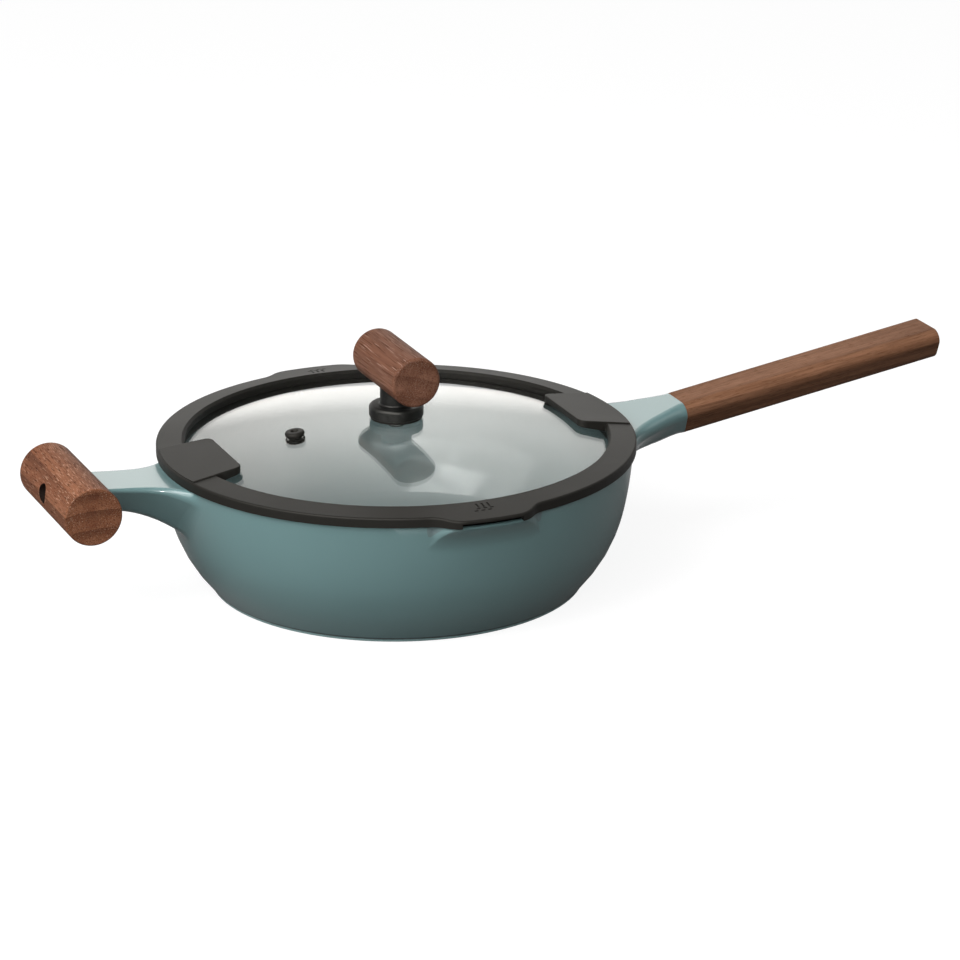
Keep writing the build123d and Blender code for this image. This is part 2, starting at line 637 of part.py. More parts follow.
def notches(side, width, count):
    """Radial cuts through the bottom of the skirt that strain what is poured off."""
    cuts = []
    bottom = PAN_HEIGHT - SKIRT_DEPTH
    depth = groove_floor() - STRAINER_ROOF - bottom
    reach = SKIRT_RADIUS - UNDER_LIP_INNER_RADIUS + 2 * OVERRUN
    middle = (SKIRT_RADIUS + UNDER_LIP_INNER_RADIUS) / 2
    angle_span = math.degrees(NOTCH_SPREAD / middle)
    for index in range(count):
        angle = angle_span * ((index + 0.5) / count - 0.5) + side * 90
        block = Box(reach, width, 2 * depth)
        cuts.append(Rot(0, 0, angle) * Pos(middle, 0, bottom) * block)
    return cuts


def pour_marks(side):
    """Strokes and dashes pressed into the top of the rim, in the middle of a pouring lip."""
    fall = rim_height(MARK_DISTANCE) - RIM_TOP
    slope = math.degrees(math.atan(fall / (RIM_OUTER_RADIUS - MARK_DISTANCE)))
    cuts = []
    lift = Pos(0, MARK_DISTANCE, rim_height(MARK_DISTANCE)) * Rot(-slope, 0, 0)
    for index in range(STROKE_COUNT):
        x = (index - (STROKE_COUNT - 1) / 2) * STROKE_PITCH
        cuts.append(lift * Pos(x, 0, 0) * Box(STROKE_WIDTH, STROKE_LENGTH, 2 * MARK_DEPTH))
    for row in range(DASH_ROWS):
        y = STROKE_LENGTH / 2 + DASH_ROW_STEP * (row + 1) - DASH_ROW_STEP / 2
        for index in range(DASH_COUNT):
            x = (index - (DASH_COUNT - 1) / 2 + row * DASH_STAGGER_SHARE) * DASH_PITCH
            cuts.append(lift * Pos(x, y, 0) * Box(DASH_LENGTH, STROKE_WIDTH, 2 * MARK_DEPTH))
    turn = Rot(0, 0, 0 if side > 0 else 180)
    return [turn * cut for cut in cuts]


def drain(side):
    """The slot under a bulge, above the pouring lip."""
    outer = RIM_OUTER_RADIUS + BULGE_REACH + OVERRUN
    inner = SKIRT_RADIUS + SKIRT_TAPER
    block = Box(DRAIN_WIDTH, outer - inner, OVERRUN + DRAIN_HEIGHT,
                align=(Align.CENTER, Align.MIN, Align.MIN))
    return Rot(0, 0, 0 if side > 0 else 180) * Pos(0, inner, PAN_HEIGHT - OVERRUN) * block


def silicone_rim():
    plan = lobed_outline(RIM_OUTER_RADIUS, BULGE_REACH, BULGE_FULL_HALF, BULGE_FOOT_HALF,
                         BULGE_ROUND)
    rim = rim_disc() & extrude(plan, 2 * PAN_HEIGHT)
    rim = fillet(outer_top_edges(rim), RIM_EDGE_ROUND)
    for side, width, count in ((-1, COARSE_NOTCH_WIDTH, COARSE_NOTCH_COUNT),
                               (1, FINE_NOTCH_WIDTH, FINE_NOTCH_COUNT)):
        rim -= drain(side)
        rim -= notches(side, width, count)
        rim -= pour_marks(side)
    return rim + tab(1) + tab(-1)


def vent_grommet():
    neck = GLASS_VENT_HOLE_RADIUS - SEAT_GAP
    below = -GLASS_THICKNESS - SEAT_GAP
    foot = below - VENT_FLANGE_HEIGHT
    mouth_floor = VENT_BEAD_HEIGHT - VENT_MOUTH_DEPTH
    profile = polyline_face([
        (VENT_BORE_RADIUS, foot), (VENT_BEAD_RADIUS, foot), (VENT_BEAD_RADIUS, below), (neck, below),
        (neck, SEAT_GAP), (VENT_BEAD_RADIUS, SEAT_GAP), (VENT_BEAD_RADIUS, VENT_BEAD_HEIGHT),
        (VENT_MOUTH_RADIUS, VENT_BEAD_HEIGHT), (VENT_BORE_RADIUS, mouth_floor)])
    bead = revolve(profile, Axis.Z)
    rims = [e for e in bead.edges().filter_by(GeomType.CIRCLE)
            if e.radius > VENT_BEAD_RADIUS - SEAT_GAP and (e @ 0).Z > 0]
    bead = fillet(rims, VENT_BEAD_ROUND)
    return vent_plane() * bead


def knob_base():
    bore = SCREW_RADIUS + SCREW_BORE_CLEARANCE
    flange = Pos(0, 0, KNOB_SEAT) * Cylinder(
        FLANGE_RADIUS, FLANGE_HEIGHT, align=(Align.CENTER, Align.CENTER, Align.MIN))
    flange = fillet(flange.edges().filter_by(GeomType.CIRCLE).sort_by(Axis.Z)[-1], FLANGE_SHOULDER)
    flange = fillet(flange.edges().filter_by(GeomType.CIRCLE).sort_by(Axis.Z)[0], FLANGE_FOOT_ROUND)
    stem = Pos(0, 0, KNOB_SEAT) * Cylinder(
        STEM_RADIUS, STEM_TOP - KNOB_SEAT, align=(Align.CENTER, Align.CENTER, Align.MIN))
    body = flange + stem
    root = [e for e in body.edges().filter_by(GeomType.CIRCLE)
            if abs(e.radius - STEM_RADIUS) < SEAT_GAP and (e @ 0).Z < STEM_TOP - OVERRUN]
    body = fillet(root, STEM_FILLET)
    return body - Pos(0, 0, KNOB_SEAT) * Cylinder(bore, 2 * (STEM_TOP - KNOB_SEAT) + OVERRUN)


def upper_gasket():
    seal = Pos(0, 0, KNOB_SEAT) * Cylinder(
        UPPER_GASKET_RADIUS, 2 * UPPER_GASKET_THICKNESS, align=(Align.CENTER, Align.CENTER, Align.MAX))
    seal -= dome_shell(RIM_INNER_RADIUS, GLASS_DOME_RADIUS + SEAT_GAP,
                       GLASS_DOME_RADIUS - GLASS_THICKNESS)
    return seal - Pos(0, 0, KNOB_SEAT) * Cylinder(
        SCREW_RADIUS + SCREW_BORE_CLEARANCE, 2 * OVERRUN + GLASS_THICKNESS)


def lower_seal_height():
    """The underside of the lower gasket."""
    return GLASS_TOP_HEIGHT - GLASS_THICKNESS - LOWER_GASKET_THICKNESS


def lower_gasket():
    bottom = lower_seal_height()
    seal = Pos(0, 0, bottom) * Cylinder(
        LOWER_GASKET_RADIUS, 2 * LOWER_GASKET_THICKNESS, align=(Align.CENTER, Align.CENTER, Align.MIN))
    seal -= dome_shell(RIM_INNER_RADIUS, GLASS_DOME_RADIUS,
                       GLASS_DOME_RADIUS - GLASS_THICKNESS - SEAT_GAP)
    collar = Pos(0, 0, bottom) * Cylinder(
        GLASS_KNOB_HOLE_RADIUS - SEAT_GAP, GLASS_THICKNESS + LOWER_GASKET_THICKNESS - SEAT_GAP,
        align=(Align.CENTER, Align.CENTER, Align.MIN))
    return seal + collar - Pos(0, 0, bottom) * Cylinder(
        SCREW_RADIUS + SCREW_BORE_CLEARANCE, 2 * (OVERRUN + GLASS_THICKNESS))


def lower_washer():
    top = Vector(0, 0, lower_seal_height())
    return ring(top, Vector(0, 0, -1), LOWER_WASHER_RADIUS, SCREW_RADIUS + SCREW_BORE_CLEARANCE,
                LOWER_WASHER_THICKNESS)


def knob_screw():
    seat = lower_seal_height() - LOWER_WASHER_THICKNESS
    top = STEM_TOP + INSERT_LENGTH - END_PLAY
    head = rod(Vector(0, 0, seat), Vector(0, 0, -1), SCREW_HEAD_RADIUS, SCREW_HEAD_HEIGHT)
    head = fillet(head.edges().filter_by(GeomType.CIRCLE).sort_by(Axis.Z)[0], SCREW_HEAD_ROUND)
    slots = Pos(0, 0, seat - SCREW_HEAD_HEIGHT) * (
        Box(SCREW_SLOT_LENGTH, SCREW_SLOT_WIDTH, 2 * SCREW_SLOT_DEPTH)
        + Box(SCREW_SLOT_WIDTH, SCREW_SLOT_LENGTH, 2 * SCREW_SLOT_DEPTH))
    return head - slots + rod(Vector(0, 0, seat), Vector(0, 0, 1), SCREW_RADIUS, top - seat)


def knob_insert():
    return ring(Vector(0, 0, STEM_TOP), Vector(0, 0, 1), INSERT_RADIUS,
                SCREW_RADIUS + THREAD_CLEARANCE, INSERT_LENGTH)


def knob_grip():
    grip = Pos(0, 0, KNOB_HEIGHT) * Rot(90, 0, 0) * Cylinder(KNOB_RADIUS, KNOB_LENGTH)
    grip = fillet(grip.edges().filter_by(GeomType.CIRCLE), KNOB_END_ROUND)
    up = Vector(0, 0, 1)
    foot = Vector(0, 0, KNOB_HEIGHT - KNOB_RADIUS - OVERRUN)
    grip -= rod(foot, up, STEM_RADIUS + SEAT_GAP, OVERRUN + STEM_SOCKET_DEPTH)
    return grip - rod(foot, up, INSERT_RADIUS + SEAT_GAP, OVERRUN + STEM_SOCKET_DEPTH + INSERT_LENGTH)


PIECES = {
    "pan_body": pan_body,
    "induction_base_disc": base_disc,
    "long_handle_grip": handle_grip,
    "long_handle_tie_bolt": handle_bolt,
    "long_handle_washer": handle_washer,
    "helper_handle_grip": helper_grip,
    "helper_handle_bolt": helper_bolt,
    "helper_handle_washer": helper_washer,
    "lid_glass": lid_glass,
    "lid_silicone_rim": silicone_rim,
    "steam_vent_grommet": vent_grommet,
    "lid_knob_base": knob_base,
    "lid_knob_upper_gasket": upper_gasket,
    "lid_knob_grip": knob_grip,
    "lid_knob_threaded_insert": knob_insert,
    "lid_knob_screw": knob_screw,
    "lid_knob_lower_washer": lower_washer,
    "lid_knob_lower_gasket": lower_gasket,
}

os.makedirs("parts", exist_ok=True)
for name, make in PIECES.items():
    export_step(make(), "parts/" + name + ".step")
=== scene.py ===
# %% [markdown]
# # A saute pan with a glass lid
#
# This lesson dresses a finished construction model. The model holds eighteen real pieces: the cast
# pan body with its two arms, the steel base disc, three walnut grips with their bolts and washers,
# the domed glass, the silicone rim that holds it, the steam vent and the small stack of parts that
# clamps the knob. The lesson adds a camera, a studio, a glass dome and a base disc that follow a
# rule, and a finish for every surface.
#
# Everything is in metres, in the model's own frame: the origin is the middle of the underside,
# +X runs along the long handle and +Z is up.

# %% The tools and an empty file
import json
import math

import bpy
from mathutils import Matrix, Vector

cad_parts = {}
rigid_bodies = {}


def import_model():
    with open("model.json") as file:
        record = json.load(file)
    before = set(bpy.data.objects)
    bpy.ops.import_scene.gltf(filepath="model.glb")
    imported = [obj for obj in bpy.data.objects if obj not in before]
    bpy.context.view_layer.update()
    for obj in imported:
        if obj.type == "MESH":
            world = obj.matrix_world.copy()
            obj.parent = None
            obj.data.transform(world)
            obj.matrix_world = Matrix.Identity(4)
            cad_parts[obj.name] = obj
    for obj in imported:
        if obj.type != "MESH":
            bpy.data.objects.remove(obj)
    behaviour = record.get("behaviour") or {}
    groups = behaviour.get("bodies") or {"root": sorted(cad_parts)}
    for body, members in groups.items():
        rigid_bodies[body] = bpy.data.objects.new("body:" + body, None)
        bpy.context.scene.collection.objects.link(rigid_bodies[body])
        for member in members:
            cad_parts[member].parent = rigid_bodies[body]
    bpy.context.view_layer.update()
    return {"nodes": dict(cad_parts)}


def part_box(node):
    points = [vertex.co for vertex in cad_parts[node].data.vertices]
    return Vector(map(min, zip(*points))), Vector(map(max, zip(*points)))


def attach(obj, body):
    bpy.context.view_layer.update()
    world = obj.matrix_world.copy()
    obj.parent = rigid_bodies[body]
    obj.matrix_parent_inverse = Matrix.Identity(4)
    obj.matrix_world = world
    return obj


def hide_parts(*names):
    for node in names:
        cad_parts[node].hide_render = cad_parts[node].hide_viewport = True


for left_over in list(bpy.data.objects):
    bpy.data.objects.remove(left_over)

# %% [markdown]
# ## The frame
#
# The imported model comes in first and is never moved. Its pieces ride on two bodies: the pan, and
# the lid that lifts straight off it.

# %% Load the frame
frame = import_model()
NODES = frame["nodes"]
MM = 0.001

# %% [markdown]
# ## The camera
#
# The picture was taken with a long lens from the front left, a little above the pan, so the rim
# shows as a flat ellipse. A long lens from far away keeps the far handle nearly as large as the
# near one. The place and the focal length were fitted to the rim's ellipse and the handles' ends,
# and no shift is needed.

# %% Place the camera
CAMERA_PLACE = (-0.8577, -2.1918, 0.8880)
CAMERA_AZIMUTH = math.radians(-22.6)
CAMERA_PITCH = math.radians(70.62)
SENSOR_WIDTH = 36.0
PICTURE_SIDE = 960
FOCAL_PIXELS = 4115

camera_data = bpy.data.cameras.new("studio_camera")
camera_data.sensor_fit = "HORIZONTAL"
camera_data.sensor_width = SENSOR_WIDTH
camera_data.lens = FOCAL_PIXELS / PICTURE_SIDE * SENSOR_WIDTH
camera_data.clip_start = 0.01
camera = bpy.data.objects.new("studio_camera", camera_data)
camera.location = CAMERA_PLACE
camera.rotation_euler = (CAMERA_PITCH, 0, CAMERA_AZIMUTH)
bpy.context.scene.collection.objects.link(camera)
bpy.context.scene.camera = camera
bpy.context.scene.view_settings.view_transform = "Standard"
print("focal length, mm:", round(camera_data.lens, 2))

# %% [markdown]
# ## Small helpers for node trees
#
# A finish is a tree of nodes. Written one call at a time, such a tree is long and hard to read, so
# three helpers do the typing: one makes a node and fills or links its inputs, one does arithmetic,
# and one mixes two colours.

# %% Node helpers
def add_node(tree, kind, inputs=None, **settings):
    """A node with its settings made and its inputs filled with values or linked to other sockets."""
    made = tree.nodes.new(kind)
    for name, value in settings.items():
        setattr(made, name, value)
    for key, value in (inputs or {}).items():
        if isinstance(value, bpy.types.NodeSocket):
            tree.links.new(value, made.inputs[key])
        else:
            made.inputs[key].default_value = value
    return made


def maths(tree, operation, first, second=0.0, clamp=False):
    """The result of one arithmetic step on two numbers or sockets."""
    step = add_node(tree, "ShaderNodeMath", {0: first, 1: second}, operation=operation, use_clamp=clamp)
    return step.outputs[0]


def mix_colours(tree, share, first, second):
    """A colour between two colours, by a share from 0 to 1."""
    return add_node(tree, "ShaderNodeMix", {0: share, 6: first, 7: second}, data_type="RGBA").outputs[2]


def ramp(tree, value, low, high):
    """The share of the way that a value has gone from low to high, smoothly, from 0 to 1."""
    inputs = {"Value": value, "From Min": low, "From Max": high}
    return add_node(tree, "ShaderNodeMapRange", inputs, interpolation_type="SMOOTHSTEP").outputs["Result"]


def noise(tree, place, scale, detail=2.0, roughness=0.5):
    """Soft random values in space, about 0.5 on average."""
    inputs = {"Vector": place, "Scale": scale, "Detail": detail, "Roughness": roughness}
    return add_node(tree, "ShaderNodeTexNoise", inputs).outputs["Fac"]


def split_xyz(tree, vector):
    """The three numbers of a vector."""
    return add_node(tree, "ShaderNodeSeparateXYZ", {0: vector}).outputs


def new_material(name):
    """A material with its tree emptied but for the output, which is returned with it."""
    material = bpy.data.materials.new(name)
    material.use_nodes = True
    tree = material.node_tree
    tree.nodes.clear()
    return material, tree, tree.nodes.new("ShaderNodeOutputMaterial")


print("helpers ready")

# %% [markdown]
# ## The studio
#
# The pan was photographed on a white sweep that is lit brightest behind it. White shows in whatever
# shines at a low angle: the far half of the glass and the flat tops of the arms. Yet the bowl's
# belly is dark towards the floor, so the paper in front of the pan sends little light up.
#
# Light can be split by the kind of ray that meets a surface. The camera sees a white sky and floor.
# A gloss mirrors a studio that is bright at the back and dimmer in front. The soft light on matt
# surfaces is weak, so that the lamps give the shape its shading.

# %% Directions round the pan
WHITE = (1.0, 1.0, 1.0, 1.0)


def towards(azimuth, elevation):
    """The direction to a place in the studio, in degrees: azimuth 0 is in front, 90 to the right."""
    turn = math.radians(azimuth)
    lift = math.radians(elevation)
    return Vector((math.sin(turn) * math.cos(lift), -math.cos(turn) * math.cos(lift), math.sin(lift)))


def mirrored_only(tree):
    """1 for rays that left a gloss, and 0 for all the others."""
    return tree.nodes.new("ShaderNodeLightPath").outputs["Is Glossy Ray"]


def seen_or_mirrored(tree):
    """1 for rays from the camera, from a gloss or through glass, and 0 for the soft light."""
    path = tree.nodes.new("ShaderNodeLightPath")
    share = maths(tree, "MAXIMUM", path.outputs["Is Camera Ray"], path.outputs["Is Glossy Ray"])
    return maths(tree, "MAXIMUM", share, path.outputs["Is Transmission Ray"])


print("straight ahead is", tuple(towards(0.0, 0.0)))

# %% The world
SKY_FOR_MATT = 0.27
SKY_IN_GLOSS = 0.12
# Each card: its name, its middle's azimuth and elevation, the radii of its even core and of its
# edge, all in degrees, and how bright it is.
SKY_CARDS = [
    ("left_back_card", 182.0, 12.0, 8.0, 40.0, 0.68),
    ("right_back_card", 138.0, 20.0, 8.0, 40.0, 0.55),
    ("high_back_card", 155.0, 38.0, 8.0, 32.0, 0.62),
    ("low_back_card", 160.0, 0.0, 3.0, 16.0, 0.80),
]
CARD_WHITE = (1.0, 0.985, 0.955, 1.0)

world = bpy.data.worlds.new("white_studio")
world.use_nodes = True
bpy.context.scene.world = world
sky = world.node_tree
sky.nodes.clear()
sky_direction = sky.nodes.new("ShaderNodeTexCoord").outputs["Generated"]


def sky_card(azimuth, elevation, core, edge, level):
    """What a soft round card adds to the mirrored sky: its level up to the core, nothing at the edge."""
    facing = add_node(sky, "ShaderNodeVectorMath", {0: sky_direction, 1: towards(azimuth, elevation)},
                      operation="DOT_PRODUCT")
    share = ramp(sky, facing.outputs["Value"], math.cos(math.radians(edge)), math.cos(math.radians(core)))
    return maths(sky, "MULTIPLY", share, level)


gloss_level = SKY_IN_GLOSS
for card_name, *card in SKY_CARDS:
    gloss_level = maths(sky, "ADD", gloss_level, sky_card(*card))
    print("card in the sky:", card_name)
gloss_change = maths(sky, "MULTIPLY", mirrored_only(sky), maths(sky, "SUBTRACT", gloss_level, 1.0))
seen_level = maths(sky, "ADD", gloss_change, 1.0)
matt_sky = add_node(sky, "ShaderNodeBackground", {"Color": WHITE, "Strength": SKY_FOR_MATT})
seen_colour = mix_colours(sky, mirrored_only(sky), WHITE, CARD_WHITE)
bright_sky = add_node(sky, "ShaderNodeBackground", {"Color": seen_colour, "Strength": seen_level})
both_skies = add_node(sky, "ShaderNodeMixShader",
                      {0: seen_or_mirrored(sky), 1: matt_sky.outputs[0], 2: bright_sky.outputs[0]})
add_node(sky, "ShaderNodeOutputWorld", {"Surface": both_skies.outputs[0]})

# %% The floor
FLOOR_HALF = 9.0
FLOOR_DROP = 0.2 * MM
FLOOR_GLOW = 0.88
FLOOR_COLOUR = (0.22, 0.22, 0.22, 1.0)
FLOOR_BOUNCE = (0.03, 0.03, 0.03, 1.0)
NEAR_GLOSS = 0.02
FAR_GLOSS = 0.82
GLOSS_RISE = (0.06, 0.55)
AWAY = towards(157.4, 0.0)  # straight away from the camera

floor_mesh = bpy.data.meshes.new("floor")
floor_corners = [(x * FLOOR_HALF, y * FLOOR_HALF, -FLOOR_DROP)
                 for x, y in ((-1, -1), (1, -1), (1, 1), (-1, 1))]
floor_mesh.from_pydata(floor_corners, [], [(0, 1, 2, 3)])
floor = bpy.data.objects.new("floor", floor_mesh)
bpy.context.scene.collection.objects.link(floor)

floor_finish, tree, output = new_material("studio_floor")
floor_place = tree.nodes.new("ShaderNodeTexCoord").outputs["Object"]
floor_depth = add_node(tree, "ShaderNodeVectorMath", {0: floor_place, 1: AWAY}, operation="DOT_PRODUCT")
lit_share = ramp(tree, floor_depth.outputs["Value"], *GLOSS_RISE)
gloss_glow = maths(tree, "ADD", NEAR_GLOSS, maths(tree, "MULTIPLY", lit_share, FAR_GLOSS - NEAR_GLOSS))
glow_change = maths(tree, "MULTIPLY", mirrored_only(tree), maths(tree, "SUBTRACT", gloss_glow, FLOOR_GLOW))
floor_paper = add_node(tree, "ShaderNodeBsdfDiffuse", {"Color": FLOOR_COLOUR})
floor_glow = add_node(tree, "ShaderNodeEmission",
                      {"Color": WHITE, "Strength": maths(tree, "ADD", glow_change, FLOOR_GLOW)})
lit_floor = add_node(tree, "ShaderNodeAddShader", {0: floor_paper.outputs[0], 1: floor_glow.outputs[0]})
dim_floor = add_node(tree, "ShaderNodeBsdfDiffuse", {"Color": FLOOR_BOUNCE})
both_floors = add_node(tree, "ShaderNodeMixShader",
                       {0: seen_or_mirrored(tree), 1: dim_floor.outputs[0], 2: lit_floor.outputs[0]})
tree.links.new(both_floors.outputs[0], output.inputs["Surface"])
floor_mesh.materials.append(floor_finish)
print("floor: glow", FLOOR_GLOW, "plus a matt part that takes the shadow")

# %% [markdown]
# ## The lamps
#
# The bowl is brightest at the top left and fades to the right, so the two main lamps stand to the
# left, one of them high. The key, low and front lamps near the camera and the one on the right are
# weak and only open the shade. A small lamp over the camera adds the glint that the coating inside
# the pan sends up through the glass, and it leaves the matt surfaces alone.

# %% Place the lamps
LAMP_AIM = Vector((0.0, 0.0, 0.06))
# Each lamp: its name, azimuth and elevation in degrees, distance and side in metres, and level.
LAMPS = [
    ("left_lamp", -80.0, 30.0, 2.0, 1.7, 0.56),
    ("high_left_lamp", -62.0, 54.0, 2.0, 1.0, 0.42),
    ("key_lamp", -42.0, 32.0, 2.0, 1.0, 0.20),
    ("low_lamp", -50.0, 12.0, 2.0, 1.0, 0.05),
    ("front_lamp", -21.0, 24.0, 2.2, 1.0, 0.16),
    ("right_lamp", 60.0, 30.0, 2.2, 1.2, 0.07),
]
GLINT_LAMP = ("glint_lamp", -21.0, 23.4, 2.6, 0.05, 0.30)


def lamp(name, azimuth, elevation, distance, side, level):
    """A square lamp on a ring round the pan. Level 1 lights a white card that faces it to full white."""
    direction = towards(azimuth, elevation)
    light = bpy.data.lights.new(name, "AREA")
    light.shape = "SQUARE"
    light.size = side
    light.energy = level * (math.pi * distance) ** 2
    lamp_object = bpy.data.objects.new(name, light)
    lamp_object.location = LAMP_AIM + direction * distance
    lamp_object.rotation_euler = (-direction).to_track_quat("-Z", "Y").to_euler()
    bpy.context.scene.collection.objects.link(lamp_object)
    print(name, "at azimuth", azimuth, "elevation", elevation)
    return lamp_object


for lamp_row in LAMPS:
    lamp(*lamp_row)
lamp(*GLINT_LAMP).visible_diffuse = False

# %% [markdown]
# ## Shared finish: a moulded or sprayed skin
#
# Silicone, phenolic and sprayed coatings all have a skin that is nearly even: small waves that
# scatter a highlight, and roughness that wanders a little. One group makes it for all of them. It
# also rounds hard edges in the shading, because a coating is drawn thin and round over an edge, and
# that is what catches the bright line on the pan's lip.

# %% The skin group
def new_group(name, inputs, outputs):
    """An empty shader group with named sockets, and its two end nodes."""
    group = bpy.data.node_groups.new(name, "ShaderNodeTree")
    for label, kind, value in inputs:
        socket = group.interface.new_socket(label, in_out="INPUT", socket_type=kind)
        socket.default_value = value
    for label, kind in outputs:
        group.interface.new_socket(label, in_out="OUTPUT", socket_type=kind)
    return group, group.nodes.new("NodeGroupInput"), group.nodes.new("NodeGroupOutput")


FLOAT = "NodeSocketFloat"
COLOUR = "NodeSocketColor"
VECTOR = "NodeSocketVector"

MOTTLE_SCALE = 22.0
skin_inputs = [("Grain Scale", FLOAT, 900.0), ("Grain Height", FLOAT, 0.00002), ("Wave Scale", FLOAT, 160.0),
               ("Wave Height", FLOAT, 0.00004), ("Roughness", FLOAT, 0.5), ("Roughness Spread", FLOAT, 0.06),
               ("Edge Round", FLOAT, 0.0005)]
skin, start, end = new_group("moulded_skin", skin_inputs,
                             [("Roughness", FLOAT), ("Normal", VECTOR), ("Mottle", FLOAT)])
place = skin.nodes.new("ShaderNodeTexCoord").outputs["Object"]
waves = noise(skin, place, start.outputs["Wave Scale"], 1.0)
grain = noise(skin, place, start.outputs["Grain Scale"], 2.0)
mottle = noise(skin, place, MOTTLE_SCALE, 3.0)
height = maths(skin, "ADD", maths(skin, "MULTIPLY", waves, start.outputs["Wave Height"]),
               maths(skin, "MULTIPLY", grain, start.outputs["Grain Height"]))
rounded = add_node(skin, "ShaderNodeBevel", {"Radius": start.outputs["Edge Round"]}, samples=4)
bumped = add_node(skin, "ShaderNodeBump", {"Strength": 1.0, "Distance": 1.0, "Height": height,
                                           "Normal": rounded.outputs[0]})
spread = maths(skin, "MULTIPLY", maths(skin, "SUBTRACT", mottle, 0.5), start.outputs["Roughness Spread"])
skin.links.new(maths(skin, "ADD", start.outputs["Roughness"], spread, clamp=True), end.inputs["Roughness"])
skin.links.new(bumped.outputs[0], end.inputs["Normal"])
skin.links.new(mottle, end.inputs["Mottle"])
print("group:", skin.name, "with", len(skin.nodes), "nodes")

# %% [markdown]
# ## The coating
#
# The pan is cast aluminium, sprayed inside and out with a satin ceramic coating in a greyed teal.
# Its colour is nearly even; a slow, faint drift keeps it from looking like plastic. The gloss is a
# soft base with a thin clearer layer over it, so that the flat tops of the arms mirror the studio
# at a low angle while the wall stays deep in colour.
#
# Masks from the place in the pan say where it differs. The crease under each pouring lip is drawn
# rounder. Inside, the coating is painted darker and greyer: painted shade under the lid. Over the
# foot runs a dark line of painted shade in the step, and the foot's own edge is painted paler:
# painted light from the floor. The inside is told from the outside by the middle of the wall, which
# curves in towards the floor and out at each lip.

# %% The coating's colours and measures
TEAL = (0.138, 0.246, 0.250, 1.0)
TEAL_LIGHT = (0.150, 0.262, 0.265, 1.0)
# Painted shade: the inside of the pan is coloured darker and greyer.
TEAL_IN_PAINTED_SHADE = (0.134, 0.197, 0.203, 1.0)
# Painted shade: a dark line coloured into the step over the foot.
FOOT_SHADE = (0.020, 0.036, 0.037, 1.0)
# Painted light: the foot's lower edge coloured paler, for light from the floor.
FOOT_PAINTED_LIGHT = (0.260, 0.380, 0.380, 1.0)
COAT_ROUGHNESS = 0.11
EDGE_ROUND = 0.7 * MM
CREASE_ROUND = 8.0 * MM
CREASE_ALONG = (0.056, 0.050)
CREASE_OUT = (0.124, 0.130)
CREASE_FROM = (0.058, 0.062)
CREASE_TO = (0.0835, 0.0815)
RIM_HEIGHT = 0.088
WALL_MIDDLE_AT_RIM = 0.142
WALL_CURVE = 3.6
LIP_REACH = 8.0 * MM
LIP_ALONG = (0.0365, 0.0345)
LIP_OUT = (0.110, 0.120)
LIP_UP = (0.0708, 0.0878)
INSIDE_EDGE = (0.0, 0.3 * MM)
INSIDE_FLOOR = (4.5 * MM, 5.5 * MM)
HEEL_OUT = (0.1070, 0.1072)
LINE_FROM = (1.7 * MM, 1.8 * MM)
LINE_TO = (3.4 * MM, 2.2 * MM)
FOOT_UP = (1.8 * MM, 1.5 * MM)
# How far the foot's edge is drawn to its painted light colour.
FOOT_LIGHT_SHARE = 0.6
print("coating measures ready")

# %% Masks on the pan
def use_group(tree, group, **values):
    """A shared group placed in a material, with the material's own values."""
    made = tree.nodes.new("ShaderNodeGroup")
    made.node_tree = group
    for label, value in values.items():
        socket = made.inputs[label.replace("_", " ")]
        if isinstance(value, bpy.types.NodeSocket):
            tree.links.new(value, socket)
        else:
            socket.default_value = value
    return made


def both(tree, first, second):
    """The share where two masks meet."""
    return maths(tree, "MULTIPLY", first, second)


teal_coating, tree, output = new_material("teal_coating")
coat_x, coat_y, coat_z = split_xyz(tree, tree.nodes.new("ShaderNodeTexCoord").outputs["Object"])
along_lip = maths(tree, "ABSOLUTE", coat_x)
out_to_lip = maths(tree, "ABSOLUTE", coat_y)
coat_across = add_node(tree, "ShaderNodeCombineXYZ", {0: coat_x, 1: coat_y})
from_middle = add_node(tree, "ShaderNodeVectorMath", {0: coat_across.outputs[0]},
                       operation="LENGTH").outputs["Value"]

by_lip = both(tree, ramp(tree, out_to_lip, *CREASE_OUT), ramp(tree, along_lip, *CREASE_ALONG))
under_lip = both(tree, ramp(tree, coat_z, *CREASE_FROM), ramp(tree, coat_z, *CREASE_TO))
crease = both(tree, by_lip, under_lip)

wall_drop = maths(tree, "POWER", maths(tree, "SUBTRACT", RIM_HEIGHT, coat_z), 2.0)
wall_middle = maths(tree, "SUBTRACT", WALL_MIDDLE_AT_RIM, maths(tree, "MULTIPLY", wall_drop, WALL_CURVE))
lip_width = both(tree, ramp(tree, along_lip, *LIP_ALONG), ramp(tree, out_to_lip, *LIP_OUT))
lip_rise = both(tree, ramp(tree, coat_z, *LIP_UP), lip_width)
wall_middle = maths(tree, "ADD", wall_middle, maths(tree, "MULTIPLY", lip_rise, LIP_REACH))
in_from_wall = maths(tree, "SUBTRACT", wall_middle, from_middle)
inside = both(tree, ramp(tree, in_from_wall, *INSIDE_EDGE), ramp(tree, coat_z, *INSIDE_FLOOR))

# Painted shade: the line in the step over the foot.
painted_foot_shade = both(tree, ramp(tree, coat_z, *LINE_FROM), ramp(tree, coat_z, *LINE_TO))
painted_foot_shade = both(tree, painted_foot_shade, ramp(tree, from_middle, *HEEL_OUT))
# Painted light: the foot's lower edge.
painted_foot_light = maths(tree, "MULTIPLY", ramp(tree, coat_z, *FOOT_UP), FOOT_LIGHT_SHARE)
print("masks on the pan: crease, inside, foot line and foot")

